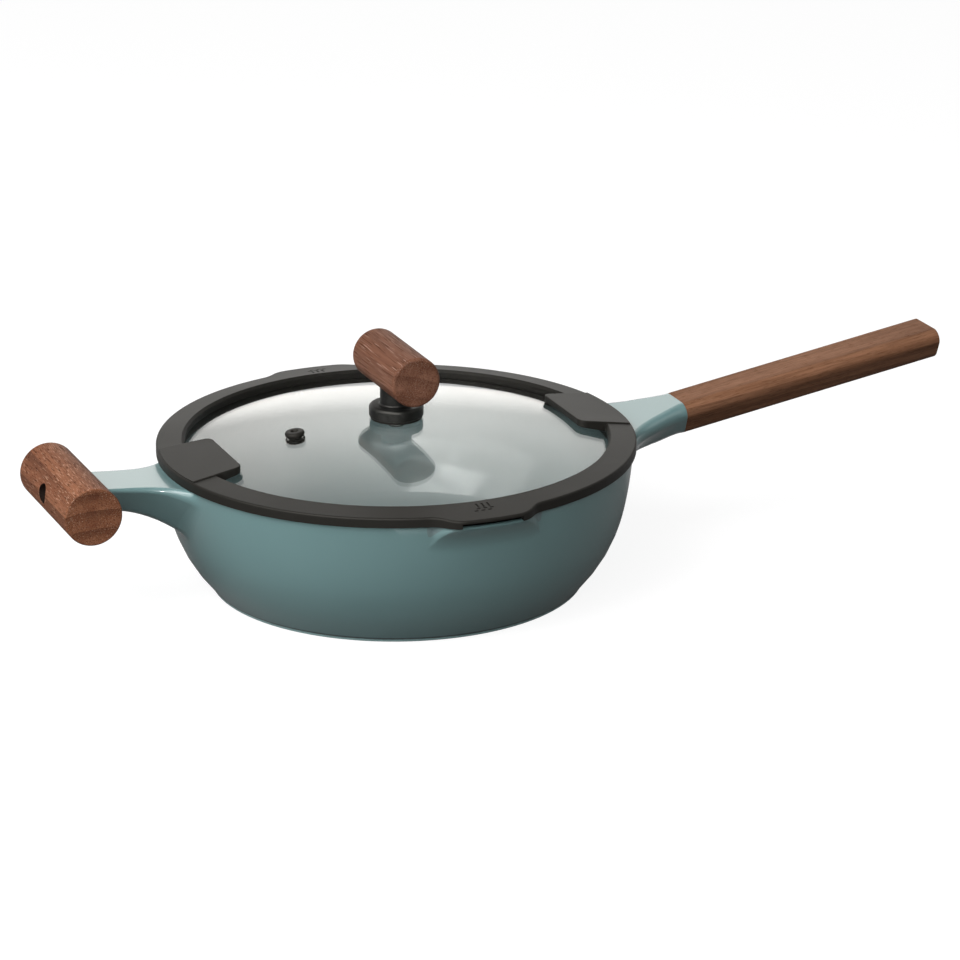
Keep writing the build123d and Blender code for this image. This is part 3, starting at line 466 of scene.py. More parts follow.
# %% The coating's material
edge_round = maths(tree, "ADD", EDGE_ROUND, maths(tree, "MULTIPLY", crease, CREASE_ROUND))
teal_skin = use_group(tree, skin, Grain_Scale=1500.0, Grain_Height=0.000012, Wave_Scale=240.0,
                      Wave_Height=0.00003, Roughness=0.38, Roughness_Spread=0.08, Edge_Round=edge_round)
outside = mix_colours(tree, teal_skin.outputs["Mottle"], TEAL, TEAL_LIGHT)
# Painted shade in the step over the foot, and painted light on the foot's edge.
outside = mix_colours(tree, painted_foot_shade, outside, FOOT_SHADE)
outside = mix_colours(tree, painted_foot_light, outside, FOOT_PAINTED_LIGHT)
# Painted shade: the inside of the pan darker and greyer.
teal_colour = mix_colours(tree, inside, outside, TEAL_IN_PAINTED_SHADE)
teal_shader = add_node(tree, "ShaderNodeBsdfPrincipled", {
    "Base Color": teal_colour, "Roughness": teal_skin.outputs["Roughness"],
    "Normal": teal_skin.outputs["Normal"], "IOR": 1.5, "Coat Weight": 0.9,
    "Coat Roughness": COAT_ROUGHNESS})
tree.links.new(teal_shader.outputs[0], output.inputs["Surface"])
print("coating:", teal_coating.name)

# %% [markdown]
# ## Silicone and phenolic
#
# The lid's rim, the vent bead and the gaskets are moulded silicone. It is a soft warm black that
# greys at a low angle, because its matt skin still mirrors the white studio there. The knob's base
# is a harder, slightly glossier phenolic moulding.

# %% The black materials
SILICONE_BLACK = (0.0120, 0.0112, 0.0096, 1.0)
SILICONE_GREY = (0.0160, 0.0150, 0.0130, 1.0)
PHENOLIC_BLACK = (0.0055, 0.0060, 0.0058, 1.0)
WARM_GLOSS = (1.0, 0.97, 0.90, 1.0)


def moulded_black(name, dark, light, gloss, refraction, grain_height):
    """A black moulding: the shared skin over a colour that wanders a little."""
    material, tree, output = new_material(name)
    made_skin = use_group(tree, skin, Grain_Scale=1300.0, Grain_Height=grain_height, Wave_Scale=200.0,
                          Wave_Height=0.00002, Roughness=gloss, Roughness_Spread=0.1, Edge_Round=0.0004)
    colour = mix_colours(tree, made_skin.outputs["Mottle"], dark, light)
    shader = add_node(tree, "ShaderNodeBsdfPrincipled", {
        "Base Color": colour, "Roughness": made_skin.outputs["Roughness"],
        "Normal": made_skin.outputs["Normal"], "IOR": refraction, "Specular Tint": WARM_GLOSS})
    tree.links.new(shader.outputs[0], output.inputs["Surface"])
    print("moulding:", name)
    return material


silicone = moulded_black("matt_silicone", SILICONE_BLACK, SILICONE_GREY, 0.50, 1.31, 0.00003)
phenolic = moulded_black("satin_phenolic", PHENOLIC_BLACK, PHENOLIC_BLACK, 0.40, 1.48, 0.000012)

# %% [markdown]
# ## Glass
#
# The lid is clear tempered glass with a faint green. Most of what it shows is the studio: towards
# the back the eye meets it at a low angle, and it turns white. Light must also get in and out of
# the pan, so the rays that carry shadow and soft light pass straight through; only those that the
# eye follows are bent.

# %% The glass material
GLASS_TINT = (0.95, 0.96, 0.945, 1.0)
GLASS_SHADE = (0.83, 0.85, 0.845, 1.0)

clear_glass, tree, output = new_material("clear_glass")
glass_shader = add_node(tree, "ShaderNodeBsdfPrincipled", {
    "Base Color": GLASS_TINT, "Roughness": 0.0, "IOR": 1.5, "Metallic": 0.0, "Transmission Weight": 1.0})
straight = add_node(tree, "ShaderNodeBsdfTransparent", {"Color": GLASS_SHADE})
path = tree.nodes.new("ShaderNodeLightPath")
passing = maths(tree, "MAXIMUM", path.outputs["Is Shadow Ray"], path.outputs["Is Diffuse Ray"])
glass_mix = add_node(tree, "ShaderNodeMixShader",
                     {0: passing, 1: glass_shader.outputs[0], 2: straight.outputs[0]})
tree.links.new(glass_mix.outputs[0], output.inputs["Surface"])
print("glass:", clear_glass.name)

# %% [markdown]
# ## Walnut
#
# Each grip is cut from solid walnut, so its figure is a pattern in space: the rings that run along
# the sides as streaks show on the end as bands. The group builds that block of wood. It measures
# the distance from the tree's middle, bends it with slow noise, and darkens the late wood of each
# ring. Long thin noise along the grain gives the fibres. Short sharp noise gives the pores, which
# are dark, slightly sunk and a little less glossy, and the flecks that catch the light.

# %% The walnut group
wood_inputs = [("Place", VECTOR, (0.0, 0.0, 0.0)), ("Pith", VECTOR, (0.0, 0.02, -0.03)),
               ("Ring Pitch", FLOAT, 0.007), ("Ring Drift", FLOAT, 0.008), ("Ring Strength", FLOAT, 0.5),
               ("Patch Strength", FLOAT, 0.6), ("Fleck Stretch", VECTOR, (0.14, 1.0, 1.0)),
               ("Pore Strength", FLOAT, 0.6), ("Fleck Strength", FLOAT, 0.5),
               ("Dark", COLOUR, (0.08, 0.03, 0.018, 1.0)), ("Middle", COLOUR, (0.19, 0.08, 0.048, 1.0)),
               ("Light", COLOUR, (0.31, 0.15, 0.09, 1.0)), ("Fleck", COLOUR, (0.5, 0.3, 0.2, 1.0))]
walnut, start, end = new_group("walnut_block", wood_inputs,
                               [("Color", COLOUR), ("Roughness", FLOAT), ("Normal", VECTOR)])
STREAK_STRETCH = (0.10, 1.0, 1.0)
FIBRE_STRETCH = (0.04, 1.0, 1.0)
FLECK_SHIFT = (0.3, 0.5, 0.7)
DRIFT_SCALE = 38.0
LATE_WOOD = (0.30, 0.95)
EARLY_WOOD = (0.0, 0.14)


def stretched(tree, place, stretch):
    """The place with the grain's direction drawn out, so that noise turns into fibres."""
    return add_node(tree, "ShaderNodeVectorMath", {0: place, 1: stretch}, operation="MULTIPLY").outputs[0]


streaks = stretched(walnut, start.outputs["Place"], STREAK_STRETCH)
fibre_place = stretched(walnut, start.outputs["Place"], FIBRE_STRETCH)
pore_place = stretched(walnut, start.outputs["Place"], start.outputs["Fleck Stretch"])
fleck_place = add_node(walnut, "ShaderNodeVectorMath", {0: pore_place, 1: FLECK_SHIFT}, operation="ADD")
drift = noise(walnut, streaks, DRIFT_SCALE, 2.0)
from_pith = add_node(walnut, "ShaderNodeVectorMath", {0: streaks, 1: start.outputs["Pith"]},
                     operation="DISTANCE")
wander = maths(walnut, "MULTIPLY", drift, start.outputs["Ring Drift"])
ring_place = maths(walnut, "ADD", from_pith.outputs["Value"], wander)
ring_tooth = maths(walnut, "FRACT", maths(walnut, "DIVIDE", ring_place, start.outputs["Ring Pitch"]))
rings = both(walnut, ramp(walnut, ring_tooth, *LATE_WOOD), ramp(walnut, ring_tooth, *EARLY_WOOD))
print("rings ready")

# %% Fibres, pores and colour
FIBRE_SCALE = 1000.0
BROAD_SCALE = 120.0
PATCH_SCALE = 55.0
PORE_SCALE = 1700.0
FLECK_SCALE = 1900.0
FIBRE_STRENGTH = 0.40
FIBRE_RELIEF = 0.06 * MM
PORE_DEPTH = 0.10 * MM
WOOD_ROUGHNESS = 0.52
fibres = noise(walnut, fibre_place, FIBRE_SCALE, 3.0, 0.6)
broad = noise(walnut, streaks, BROAD_SCALE, 2.0)
patches = ramp(walnut, noise(walnut, streaks, PATCH_SCALE, 1.0), 0.35, 0.65)
pores = ramp(walnut, noise(walnut, pore_place, PORE_SCALE, 1.0), 0.58, 0.68)
flecks = ramp(walnut, noise(walnut, fleck_place.outputs[0], FLECK_SCALE, 1.0), 0.60, 0.70)


def drawn_to(target, share, strength, colour):
    """The colour drawn towards a target by a pattern's share times its strength."""
    return mix_colours(walnut, maths(walnut, "MULTIPLY", share, strength), colour, target)


tone = mix_colours(walnut, ramp(walnut, broad, 0.30, 0.70), start.outputs["Middle"], start.outputs["Light"])
tone = drawn_to(start.outputs["Dark"], rings, start.outputs["Ring Strength"], tone)
tone = drawn_to(start.outputs["Middle"], patches, start.outputs["Patch Strength"], tone)
tone = drawn_to(start.outputs["Dark"], ramp(walnut, fibres, 0.38, 0.72), FIBRE_STRENGTH, tone)
tone = drawn_to(start.outputs["Dark"], pores, start.outputs["Pore Strength"], tone)
tone = drawn_to(start.outputs["Fleck"], both(walnut, flecks, maths(walnut, "ADD", 0.35, patches)),
                start.outputs["Fleck Strength"], tone)
walnut.links.new(tone, end.inputs["Color"])
dull = maths(walnut, "ADD", WOOD_ROUGHNESS, maths(walnut, "MULTIPLY", pores, 0.25))
walnut.links.new(maths(walnut, "ADD", dull, maths(walnut, "MULTIPLY", fibres, 0.12)), end.inputs["Roughness"])
relief = maths(walnut, "SUBTRACT", maths(walnut, "MULTIPLY", fibres, FIBRE_RELIEF),
               maths(walnut, "MULTIPLY", pores, PORE_DEPTH))
wood_bump = add_node(walnut, "ShaderNodeBump", {"Strength": 0.8, "Distance": 1.0, "Height": relief})
walnut.links.new(wood_bump.outputs[0], end.inputs["Normal"])
print("group:", walnut.name, "with", len(walnut.nodes), "nodes")

# %% [markdown]
# The three grips are cut from different boards. The knob and the helper grip lie across the pan,
# so their grain runs along Y, and the long grip's runs along the handle, which rises outwards. A
# Mapping node turns each piece's own coordinates so that its grain runs along the group's X. The
# helper grip is reddish with fine flecks and broad bands on its ends, the knob is duller with longer
# streaks, and the long grip is browner and plainer. The recess for the helper grip's bolt is painted
# dark: painted shade in the bore.

# %% The three walnut materials
HANDLE_TILT = math.radians(9.0)
QUARTER = math.radians(90.0)
BOLT_TILT = math.radians(8.0)
BOLT_AXIS = (-math.cos(BOLT_TILT), 0.0, math.sin(BOLT_TILT))
# Painted shade: the bore of the helper grip's bolt, nearly black.
BORE_PAINTED_SHADE = (0.012, 0.006, 0.004, 1.0)
BORE_EDGE = (6.0 * MM, 5.9 * MM)
HELPER_SIDE = (-0.15, -0.16)


def middle_of(node):
    """The middle of a piece's box."""
    low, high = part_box(node)
    return (low + high) / 2


def in_bolt_bore(tree, place):
    """1 on the wall of the bore that the helper grip's bolt sits in, and 0 elsewhere."""
    from_axis = add_node(tree, "ShaderNodeVectorMath", {0: place, 1: middle_of("helper_handle_grip")},
                         operation="SUBTRACT")
    across = add_node(tree, "ShaderNodeVectorMath", {0: from_axis.outputs[0], 1: BOLT_AXIS},
                      operation="CROSS_PRODUCT")
    distance = add_node(tree, "ShaderNodeVectorMath", {0: across.outputs[0]}, operation="LENGTH")
    on_helper_side = ramp(tree, split_xyz(tree, place)[0], *HELPER_SIDE)
    return both(tree, ramp(tree, distance.outputs["Value"], *BORE_EDGE), on_helper_side)


def walnut_board(name, turn, **figure):
    """Walnut from one board: how it is turned, and the group's values for its figure and browns.

    The wall of the bolt's bore is painted darker: painted shade in the recess.
    """
    material, tree, output = new_material(name)
    place = tree.nodes.new("ShaderNodeTexCoord").outputs["Object"]
    turned = add_node(tree, "ShaderNodeMapping", {"Vector": place, "Rotation": turn})
    board = use_group(tree, walnut, Place=turned.outputs[0], **figure)
    # Painted shade in the bolt's bore.
    colour = mix_colours(tree, in_bolt_bore(tree, place), board.outputs["Color"], BORE_PAINTED_SHADE)
    shader = add_node(tree, "ShaderNodeBsdfPrincipled", {
        "Base Color": colour, "Roughness": board.outputs["Roughness"],
        "Normal": board.outputs["Normal"], "IOR": 1.40, "Specular IOR Level": 0.17})
    tree.links.new(shader.outputs[0], output.inputs["Surface"])
    print("board:", name)
    return material


knob_walnut = walnut_board(
    "walnut_knob", (0, 0, -QUARTER), Pith=(0.0, 0.02, 0.02), Ring_Pitch=0.011, Ring_Drift=0.009,
    Ring_Strength=0.40, Patch_Strength=0.55, Pore_Strength=0.68, Fleck_Strength=0.42,
    Fleck_Stretch=(0.030, 0.90, 0.90), Dark=(0.062, 0.024, 0.014, 1), Middle=(0.180, 0.076, 0.044, 1),
    Light=(0.272, 0.128, 0.080, 1), Fleck=(0.50, 0.31, 0.24, 1))
helper_walnut = walnut_board(
    "walnut_helper", (0, 0, -QUARTER), Pith=(0.0, 0.20, -0.03), Ring_Pitch=0.0105, Ring_Drift=0.0035,
    Ring_Strength=0.62, Patch_Strength=0.6, Pore_Strength=0.78, Fleck_Strength=0.55,
    Fleck_Stretch=(0.10, 1.0, 1.0), Dark=(0.050, 0.017, 0.009, 1), Middle=(0.218, 0.080, 0.039, 1),
    Light=(0.305, 0.128, 0.066, 1), Fleck=(0.55, 0.34, 0.23, 1))
long_walnut = walnut_board(
    "walnut_long", (0, HANDLE_TILT, 0), Pith=(0.0, 0.0, -0.04), Ring_Pitch=0.0095, Ring_Drift=0.010,
    Ring_Strength=0.40, Patch_Strength=0.4, Pore_Strength=0.35, Fleck_Strength=0.2,
    Fleck_Stretch=(0.10, 1.0, 1.0), Dark=(0.080, 0.033, 0.016, 1), Middle=(0.220, 0.100, 0.052, 1),
    Light=(0.312, 0.152, 0.085, 1), Fleck=(0.44, 0.27, 0.17, 1))

# %% [markdown]
# ## Turned metal
#
# The base disc, the washers and the bolts were turned on a lathe, which leaves fine rings round
# the axis. The group takes a place in the piece's own frame, with the axis on Z, and makes the
# rings from the distance to the axis: a fine saw of height, and a roughness that changes ring by
# ring.

# %% The turned metal group
SMEAR_SCALE = 60.0
turned_inputs = [("Place", VECTOR, (0.0, 0.0, 0.0)), ("Ring Scale", FLOAT, 2200.0), ("Depth", FLOAT, 0.00001),
                 ("Roughness", FLOAT, 0.3), ("Roughness Spread", FLOAT, 0.15)]
turned_metal, start, end = new_group("turned_metal", turned_inputs,
                                     [("Roughness", FLOAT), ("Normal", VECTOR), ("Rings", FLOAT)])
flat_place = add_node(turned_metal, "ShaderNodeVectorMath", {0: start.outputs["Place"], 1: (1.0, 1.0, 0.0)},
                      operation="MULTIPLY")
radius = add_node(turned_metal, "ShaderNodeVectorMath", {0: flat_place.outputs[0]}, operation="LENGTH")
radius_line = add_node(turned_metal, "ShaderNodeCombineXYZ", {0: radius.outputs["Value"]})
turning = noise(turned_metal, radius_line.outputs[0], start.outputs["Ring Scale"], 3.0, 0.7)
smears = noise(turned_metal, start.outputs["Place"], SMEAR_SCALE, 2.0)
metal_height = maths(turned_metal, "MULTIPLY", turning, start.outputs["Depth"])
metal_bump = add_node(turned_metal, "ShaderNodeBump",
                      {"Strength": 1.0, "Distance": 1.0, "Height": metal_height})
uneven = maths(turned_metal, "SUBTRACT", maths(turned_metal, "ADD", turning, smears), 1.0)
uneven = maths(turned_metal, "MULTIPLY", uneven, start.outputs["Roughness Spread"])
turned_metal.links.new(maths(turned_metal, "ADD", start.outputs["Roughness"], uneven, clamp=True),
                       end.inputs["Roughness"])
turned_metal.links.new(metal_bump.outputs[0], end.inputs["Normal"])
turned_metal.links.new(turning, end.inputs["Rings"])
print("group:", turned_metal.name)

# %% The metal materials
STEEL = (0.58, 0.58, 0.57, 1.0)
STEEL_DARK = (0.44, 0.44, 0.43, 1.0)
BRASS = (0.60, 0.40, 0.15, 1.0)
BRASS_DARK = (0.42, 0.26, 0.09, 1.0)


def turned_finish(name, dark, light, centre, turn, scale, gloss):
    """Lathe-turned metal with its axis through centre, turned so that it lies on Z."""
    material, tree, output = new_material(name)
    place = tree.nodes.new("ShaderNodeTexCoord").outputs["Object"]
    centred = add_node(tree, "ShaderNodeVectorMath", {0: place, 1: centre}, operation="SUBTRACT")
    lying = add_node(tree, "ShaderNodeMapping", {"Vector": centred.outputs[0], "Rotation": turn})
    finish = use_group(tree, turned_metal, Place=lying.outputs[0], Ring_Scale=scale, Roughness=gloss)
    colour = mix_colours(tree, finish.outputs["Rings"], dark, light)
    shader = add_node(tree, "ShaderNodeBsdfPrincipled", {
        "Base Color": colour, "Roughness": finish.outputs["Roughness"],
        "Normal": finish.outputs["Normal"], "Metallic": 1.0})
    tree.links.new(shader.outputs[0], output.inputs["Surface"])
    print("metal:", name)
    return material


UPRIGHT = (0, 0, 0)
PAN_AXIS = (0, 0, 0)
DISC_RINGS = 1400.0
FINE_RINGS = 2600.0

base_steel = turned_finish("brushed_base_steel", STEEL_DARK, STEEL, PAN_AXIS, UPRIGHT, DISC_RINGS, 0.30)
knob_steel = turned_finish("knob_hardware_steel", STEEL_DARK, STEEL, PAN_AXIS, UPRIGHT, FINE_RINGS, 0.26)
knob_brass = turned_finish("insert_brass", BRASS_DARK, BRASS, PAN_AXIS, UPRIGHT, FINE_RINGS, 0.28)
long_steel = turned_finish("long_bolt_steel", STEEL_DARK, STEEL, middle_of("long_handle_tie_bolt"),
                           (0, -QUARTER + HANDLE_TILT, 0), FINE_RINGS, 0.26)
helper_steel = turned_finish("helper_bolt_steel", STEEL_DARK, STEEL, middle_of("helper_handle_bolt"),
                             (0, QUARTER, 0), FINE_RINGS, 0.26)

# %% [markdown]
# ## The glass dome, turned by Geometry Nodes
#
# The lid's glass is a slice of a hollow ball, cut to a circle and drilled twice: for the knob's
# screw and for the steam vent. A shape that turns about an axis follows one rule, so Geometry Nodes
# can make it. The tree draws the section as a rounded rectangle, sweeps it round a circle, and then
# moves every point: outwards by its distance from the axis, and up to the ball's surface. A boolean
# drills the vent's hole along the ball's radius.
#
# The holes are a hair smaller than the parts that fill them, so that no bright gap shows there.

# %% Helpers for geometry trees
def new_geometry(name, inputs):
    """An empty geometry tree with named inputs and one output, and its two end nodes."""
    tree = bpy.data.node_groups.new(name, "GeometryNodeTree")
    tree.interface.new_socket("Geometry", in_out="INPUT", socket_type="NodeSocketGeometry")
    for label, kind, value in inputs:
        socket = tree.interface.new_socket(label, in_out="INPUT", socket_type=kind)
        if value is not None:
            socket.default_value = value
    tree.interface.new_socket("Geometry", in_out="OUTPUT", socket_type="NodeSocketGeometry")
    return tree, tree.nodes.new("NodeGroupInput"), tree.nodes.new("NodeGroupOutput")


def join_xyz(tree, x, y, z):
    """A vector from three numbers."""
    return add_node(tree, "ShaderNodeCombineXYZ", {0: x, 1: y, 2: z}).outputs[0]


def finish_tree(tree, geometry, material, end):
    """Smooth shading with sharp corners kept, the material, and the instances made real."""
    angle = tree.nodes.new("GeometryNodeInputMeshEdgeAngle").outputs["Unsigned Angle"]
    soft = add_node(tree, "FunctionNodeCompare", {0: angle, 1: SHARP_ANGLE}, data_type="FLOAT",
                    operation="LESS_THAN")
    faces = add_node(tree, "GeometryNodeSetShadeSmooth", {0: geometry, "Shade Smooth": True}, domain="FACE")
    edges = add_node(tree, "GeometryNodeSetShadeSmooth",
                     {0: faces.outputs[0], "Shade Smooth": soft.outputs[0]}, domain="EDGE")
    real = add_node(tree, "GeometryNodeRealizeInstances", {0: edges.outputs[0]})
    finished = add_node(tree, "GeometryNodeSetMaterial", {"Geometry": real.outputs[0], "Material": material})
    tree.links.new(finished.outputs[0], end.inputs["Geometry"])


def built_by(tree, name, values):
    """A plain mesh object that a geometry tree has made from the given values."""
    seed_mesh = bpy.data.meshes.new(name + "_seed")
    seed = bpy.data.objects.new(name + "_seed", seed_mesh)
    bpy.context.scene.collection.objects.link(seed)
    modifier = seed.modifiers.new(tree.name, "NODES")
    modifier.node_group = tree
    for item in tree.interface.items_tree:
        if item.in_out == "INPUT" and item.name in values:
            modifier[item.identifier] = values[item.name]
    evaluated = seed.evaluated_get(bpy.context.evaluated_depsgraph_get())
    mesh = bpy.data.meshes.new_from_object(evaluated)
    bpy.data.objects.remove(seed)
    bpy.data.meshes.remove(seed_mesh)
    mesh.name = name
    piece = bpy.data.objects.new(name, mesh)
    bpy.context.scene.collection.objects.link(piece)
    print(name, "has", len(mesh.vertices), "points and", len(mesh.polygons), "faces")
    return piece


SHARP_ANGLE = math.radians(32.0)
print("geometry helpers ready")

# %% The dome's tree
INTEGER = "NodeSocketInt"
dome_inputs = [("Outer Radius", FLOAT, 0.1), ("Hole Radius", FLOAT, 0.005), ("Thickness", FLOAT, 0.004),
               ("Ball Radius", FLOAT, 0.5), ("Top Height", FLOAT, 0.1), ("Edge Round", FLOAT, 0.001),
               ("Point Spacing", FLOAT, 0.002), ("Steps Round", INTEGER, 128),
               ("Vent Distance", FLOAT, 0.065), ("Vent Radius", FLOAT, 0.004)]
dome, start, end = new_geometry("turned_dome", dome_inputs)

width = maths(dome, "SUBTRACT", start.outputs["Outer Radius"], start.outputs["Hole Radius"])
both_radii = maths(dome, "ADD", start.outputs["Outer Radius"], start.outputs["Hole Radius"])
middle = maths(dome, "MULTIPLY", both_radii, 0.5)
section = add_node(dome, "GeometryNodeCurvePrimitiveQuadrilateral",
                   {"Width": width, "Height": start.outputs["Thickness"]})
rounded = add_node(dome, "GeometryNodeFilletCurve",
                   {"Curve": section.outputs[0], "Radius": start.outputs["Edge Round"], "Count": 5},
                   mode="POLY")
long_side = add_node(dome, "GeometryNodeResampleCurve",
                     {"Curve": rounded.outputs[0], "Length": start.outputs["Point Spacing"]}, mode="LENGTH")
section_place = add_node(dome, "GeometryNodeStoreNamedAttribute",
                         {"Geometry": long_side.outputs[0], "Name": "section",
                          "Value": dome.nodes.new("GeometryNodeInputPosition").outputs[0]},
                         data_type="FLOAT_VECTOR", domain="POINT")
ring = add_node(dome, "GeometryNodeCurvePrimitiveCircle",
                {"Resolution": start.outputs["Steps Round"], "Radius": middle}, mode="RADIUS")
ring_place = add_node(dome, "GeometryNodeStoreNamedAttribute",
                      {"Geometry": ring.outputs[0], "Name": "outwards",
                       "Value": dome.nodes.new("GeometryNodeInputPosition").outputs[0]},
                      data_type="FLOAT_VECTOR", domain="POINT")
swept = add_node(dome, "GeometryNodeCurveToMesh",
                 {"Curve": ring_place.outputs[0], "Profile Curve": section_place.outputs[0]})
print("section and ring ready")

# %% Bend the ring onto the ball, drill the vent and finish
across = add_node(dome, "GeometryNodeInputNamedAttribute", {"Name": "section"}, data_type="FLOAT_VECTOR")
outwards = add_node(dome, "GeometryNodeInputNamedAttribute", {"Name": "outwards"}, data_type="FLOAT_VECTOR")
direction = add_node(dome, "ShaderNodeVectorMath", {0: outwards.outputs[0]}, operation="NORMALIZE")
across_x, across_y, _ = split_xyz(dome, across.outputs[0])
reach = maths(dome, "ADD", across_x, middle)
half_thick = maths(dome, "MULTIPLY", start.outputs["Thickness"], 0.5)
shell = maths(dome, "ADD", start.outputs["Ball Radius"], maths(dome, "SUBTRACT", across_y, half_thick))
rise = maths(dome, "SQRT", maths(dome, "SUBTRACT", maths(dome, "MULTIPLY", shell, shell),
                                 maths(dome, "MULTIPLY", reach, reach)))
ball_middle = maths(dome, "SUBTRACT", start.outputs["Top Height"], start.outputs["Ball Radius"])
flat_part = add_node(dome, "ShaderNodeVectorMath", {0: direction.outputs[0], 3: reach}, operation="SCALE")
upwards = join_xyz(dome, 0.0, 0.0, maths(dome, "ADD", rise, ball_middle))
bent_place = add_node(dome, "ShaderNodeVectorMath", {0: flat_part.outputs[0], 1: upwards}, operation="ADD")
bent = add_node(dome, "GeometryNodeSetPosition",
                {"Geometry": swept.outputs[0], "Position": bent_place.outputs[0]})
ball_square = maths(dome, "MULTIPLY", start.outputs["Ball Radius"], start.outputs["Ball Radius"])
vent_square = maths(dome, "MULTIPLY", start.outputs["Vent Distance"], start.outputs["Vent Distance"])
vent_rise = maths(dome, "SQRT", maths(dome, "SUBTRACT", ball_square, vent_square))
vent_tilt = maths(dome, "ARCTAN2", start.outputs["Vent Distance"], vent_rise)
drill = add_node(dome, "GeometryNodeMeshCylinder", {
    "Vertices": 64, "Radius": start.outputs["Vent Radius"],
    "Depth": maths(dome, "MULTIPLY", start.outputs["Thickness"], 4.0)})
vent_x = maths(dome, "MULTIPLY", start.outputs["Vent Distance"], -1.0)
vent_z = maths(dome, "ADD", vent_rise, ball_middle)
drill_place = add_node(dome, "GeometryNodeTransform", {
    "Geometry": drill.outputs["Mesh"], "Translation": join_xyz(dome, vent_x, 0.0, vent_z),
    "Rotation": join_xyz(dome, 0.0, maths(dome, "MULTIPLY", vent_tilt, -1.0), 0.0)})
drilled = add_node(dome, "GeometryNodeMeshBoolean",
                   {"Mesh 1": bent.outputs[0], "Mesh 2": drill_place.outputs[0]},
                   operation="DIFFERENCE", solver="EXACT")
plain = add_node(dome, "GeometryNodeRemoveAttribute",
                 {"Geometry": drilled.outputs["Mesh"], "Name": "section"})
plain = add_node(dome, "GeometryNodeRemoveAttribute", {"Geometry": plain.outputs[0], "Name": "outwards"})
finish_tree(dome, plain.outputs[0], clear_glass, end)
print("tree:", dome.name, "with", len(dome.nodes), "nodes")

# %% Make the glass
GLASS_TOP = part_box("lid_glass")[1].z
GLASS_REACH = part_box("lid_glass")[1].y
glass_piece = built_by(dome, "glass_dome", {
    "Outer Radius": GLASS_REACH, "Hole Radius": 4.9 * MM, "Thickness": 4.0 * MM, "Ball Radius": 515.0 * MM,
    "Top Height": GLASS_TOP, "Edge Round": 1.2 * MM, "Point Spacing": 1.6 * MM, "Steps Round": 160,
    "Vent Distance": 65.0 * MM, "Vent Radius": 3.9 * MM})

# %% [markdown]
# ## The base disc, grooved by Geometry Nodes
#
# The steel disc in the pan's foot lets the pan work on an induction hob. It was faced on a lathe,
# which leaves shallow rings on its underside. They repeat by a rule too: the tree takes a cylinder
# whose ends are made of many rings of points, and lifts every second ring of the underside.

# %% The disc's tree
disc_inputs = [("Radius", FLOAT, 0.095), ("Thickness", FLOAT, 0.0012), ("Low Height", FLOAT, 0.0),
               ("Groove Depth", FLOAT, 0.0001), ("Rings", INTEGER, 60), ("Steps Round", INTEGER, 144),
               ("Plain Border", FLOAT, 0.004)]
disc, start, end = new_geometry("grooved_disc", disc_inputs)
blank = add_node(disc, "GeometryNodeMeshCylinder", {
    "Vertices": start.outputs["Steps Round"], "Fill Segments": start.outputs["Rings"],
    "Radius": start.outputs["Radius"], "Depth": start.outputs["Thickness"]}, fill_type="TRIANGLE_FAN")
point_place = disc.nodes.new("GeometryNodeInputPosition").outputs[0]
place_x, place_y, place_z = split_xyz(disc, point_place)
flat_point = join_xyz(disc, place_x, place_y, 0.0)
from_axis = add_node(disc, "ShaderNodeVectorMath", {0: flat_point}, operation="LENGTH").outputs["Value"]
ring_width = maths(disc, "DIVIDE", start.outputs["Radius"], start.outputs["Rings"])
ring_number = maths(disc, "ROUND", maths(disc, "DIVIDE", from_axis, ring_width))
odd_ring = maths(disc, "MODULO", ring_number, 2.0)
inner_edge = maths(disc, "SUBTRACT", start.outputs["Radius"], start.outputs["Plain Border"])
on_face = maths(disc, "LESS_THAN", from_axis, inner_edge)
underneath = maths(disc, "LESS_THAN", place_z, 0.0)
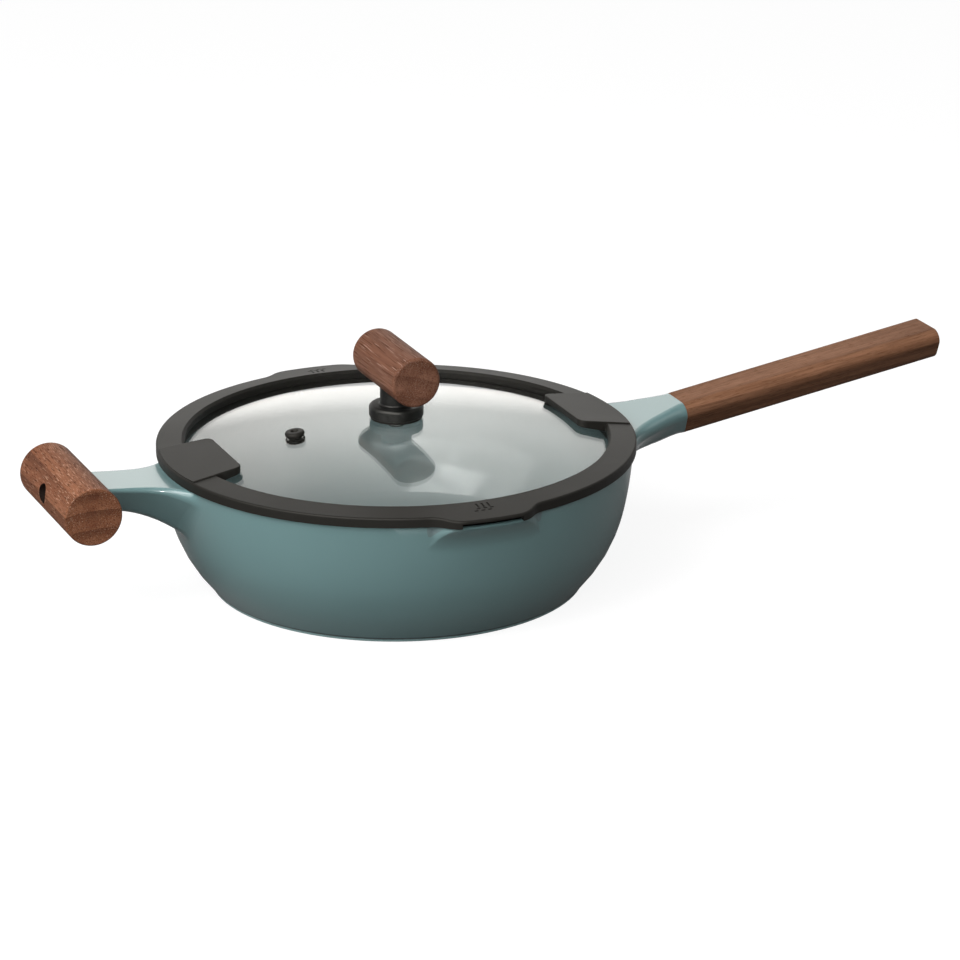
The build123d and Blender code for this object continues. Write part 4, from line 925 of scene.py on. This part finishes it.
lift = maths(disc, "MULTIPLY", maths(disc, "MULTIPLY", odd_ring, on_face),
             maths(disc, "MULTIPLY", underneath, start.outputs["Groove Depth"]))
half_disc = maths(disc, "MULTIPLY", start.outputs["Thickness"], 0.5)
seat = maths(disc, "ADD", start.outputs["Low Height"], half_disc)
raised = join_xyz(disc, 0.0, 0.0, maths(disc, "ADD", lift, seat))
grooved = add_node(disc, "GeometryNodeSetPosition", {"Geometry": blank.outputs["Mesh"], "Offset": raised})
finish_tree(disc, grooved.outputs[0], base_steel, end)
print("tree:", disc.name, "with", len(disc.nodes), "nodes")

# %% Make the disc
disc_low, disc_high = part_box("induction_base_disc")
disc_piece = built_by(disc, "faced_base_disc", {
    "Radius": disc_high.y, "Thickness": disc_high.z - disc_low.z, "Low Height": disc_low.z,
    "Groove Depth": 0.10 * MM, "Rings": 60, "Steps Round": 144, "Plain Border": 4.0 * MM})

# %% [markdown]
# ## Put the finishes on
#
# The construction's pieces keep their shapes. Each one only takes its finish.

# %% Assign the materials
FINISHES = {
    "pan_body": teal_coating,
    "induction_base_disc": base_steel,
    "long_handle_grip": long_walnut,
    "long_handle_tie_bolt": long_steel,
    "long_handle_washer": long_steel,
    "helper_handle_grip": helper_walnut,
    "helper_handle_bolt": helper_steel,
    "helper_handle_washer": helper_steel,
    "lid_glass": clear_glass,
    "lid_silicone_rim": silicone,
    "steam_vent_grommet": silicone,
    "lid_knob_base": phenolic,
    "lid_knob_upper_gasket": silicone,
    "lid_knob_grip": knob_walnut,
    "lid_knob_threaded_insert": knob_brass,
    "lid_knob_screw": knob_steel,
    "lid_knob_lower_washer": knob_steel,
    "lid_knob_lower_gasket": silicone,
}
for name, finish in FINISHES.items():
    for slot in NODES[name].material_slots:
        slot.material = finish
print("finished pieces:", len(FINISHES), "of", len(NODES))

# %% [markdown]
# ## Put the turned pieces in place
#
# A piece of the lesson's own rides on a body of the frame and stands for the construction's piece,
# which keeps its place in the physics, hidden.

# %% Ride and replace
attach(glass_piece, "lid")
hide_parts("lid_glass")
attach(disc_piece, "pan")
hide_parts("induction_base_disc")
print("the dome rides on the lid, and the disc on the pan")
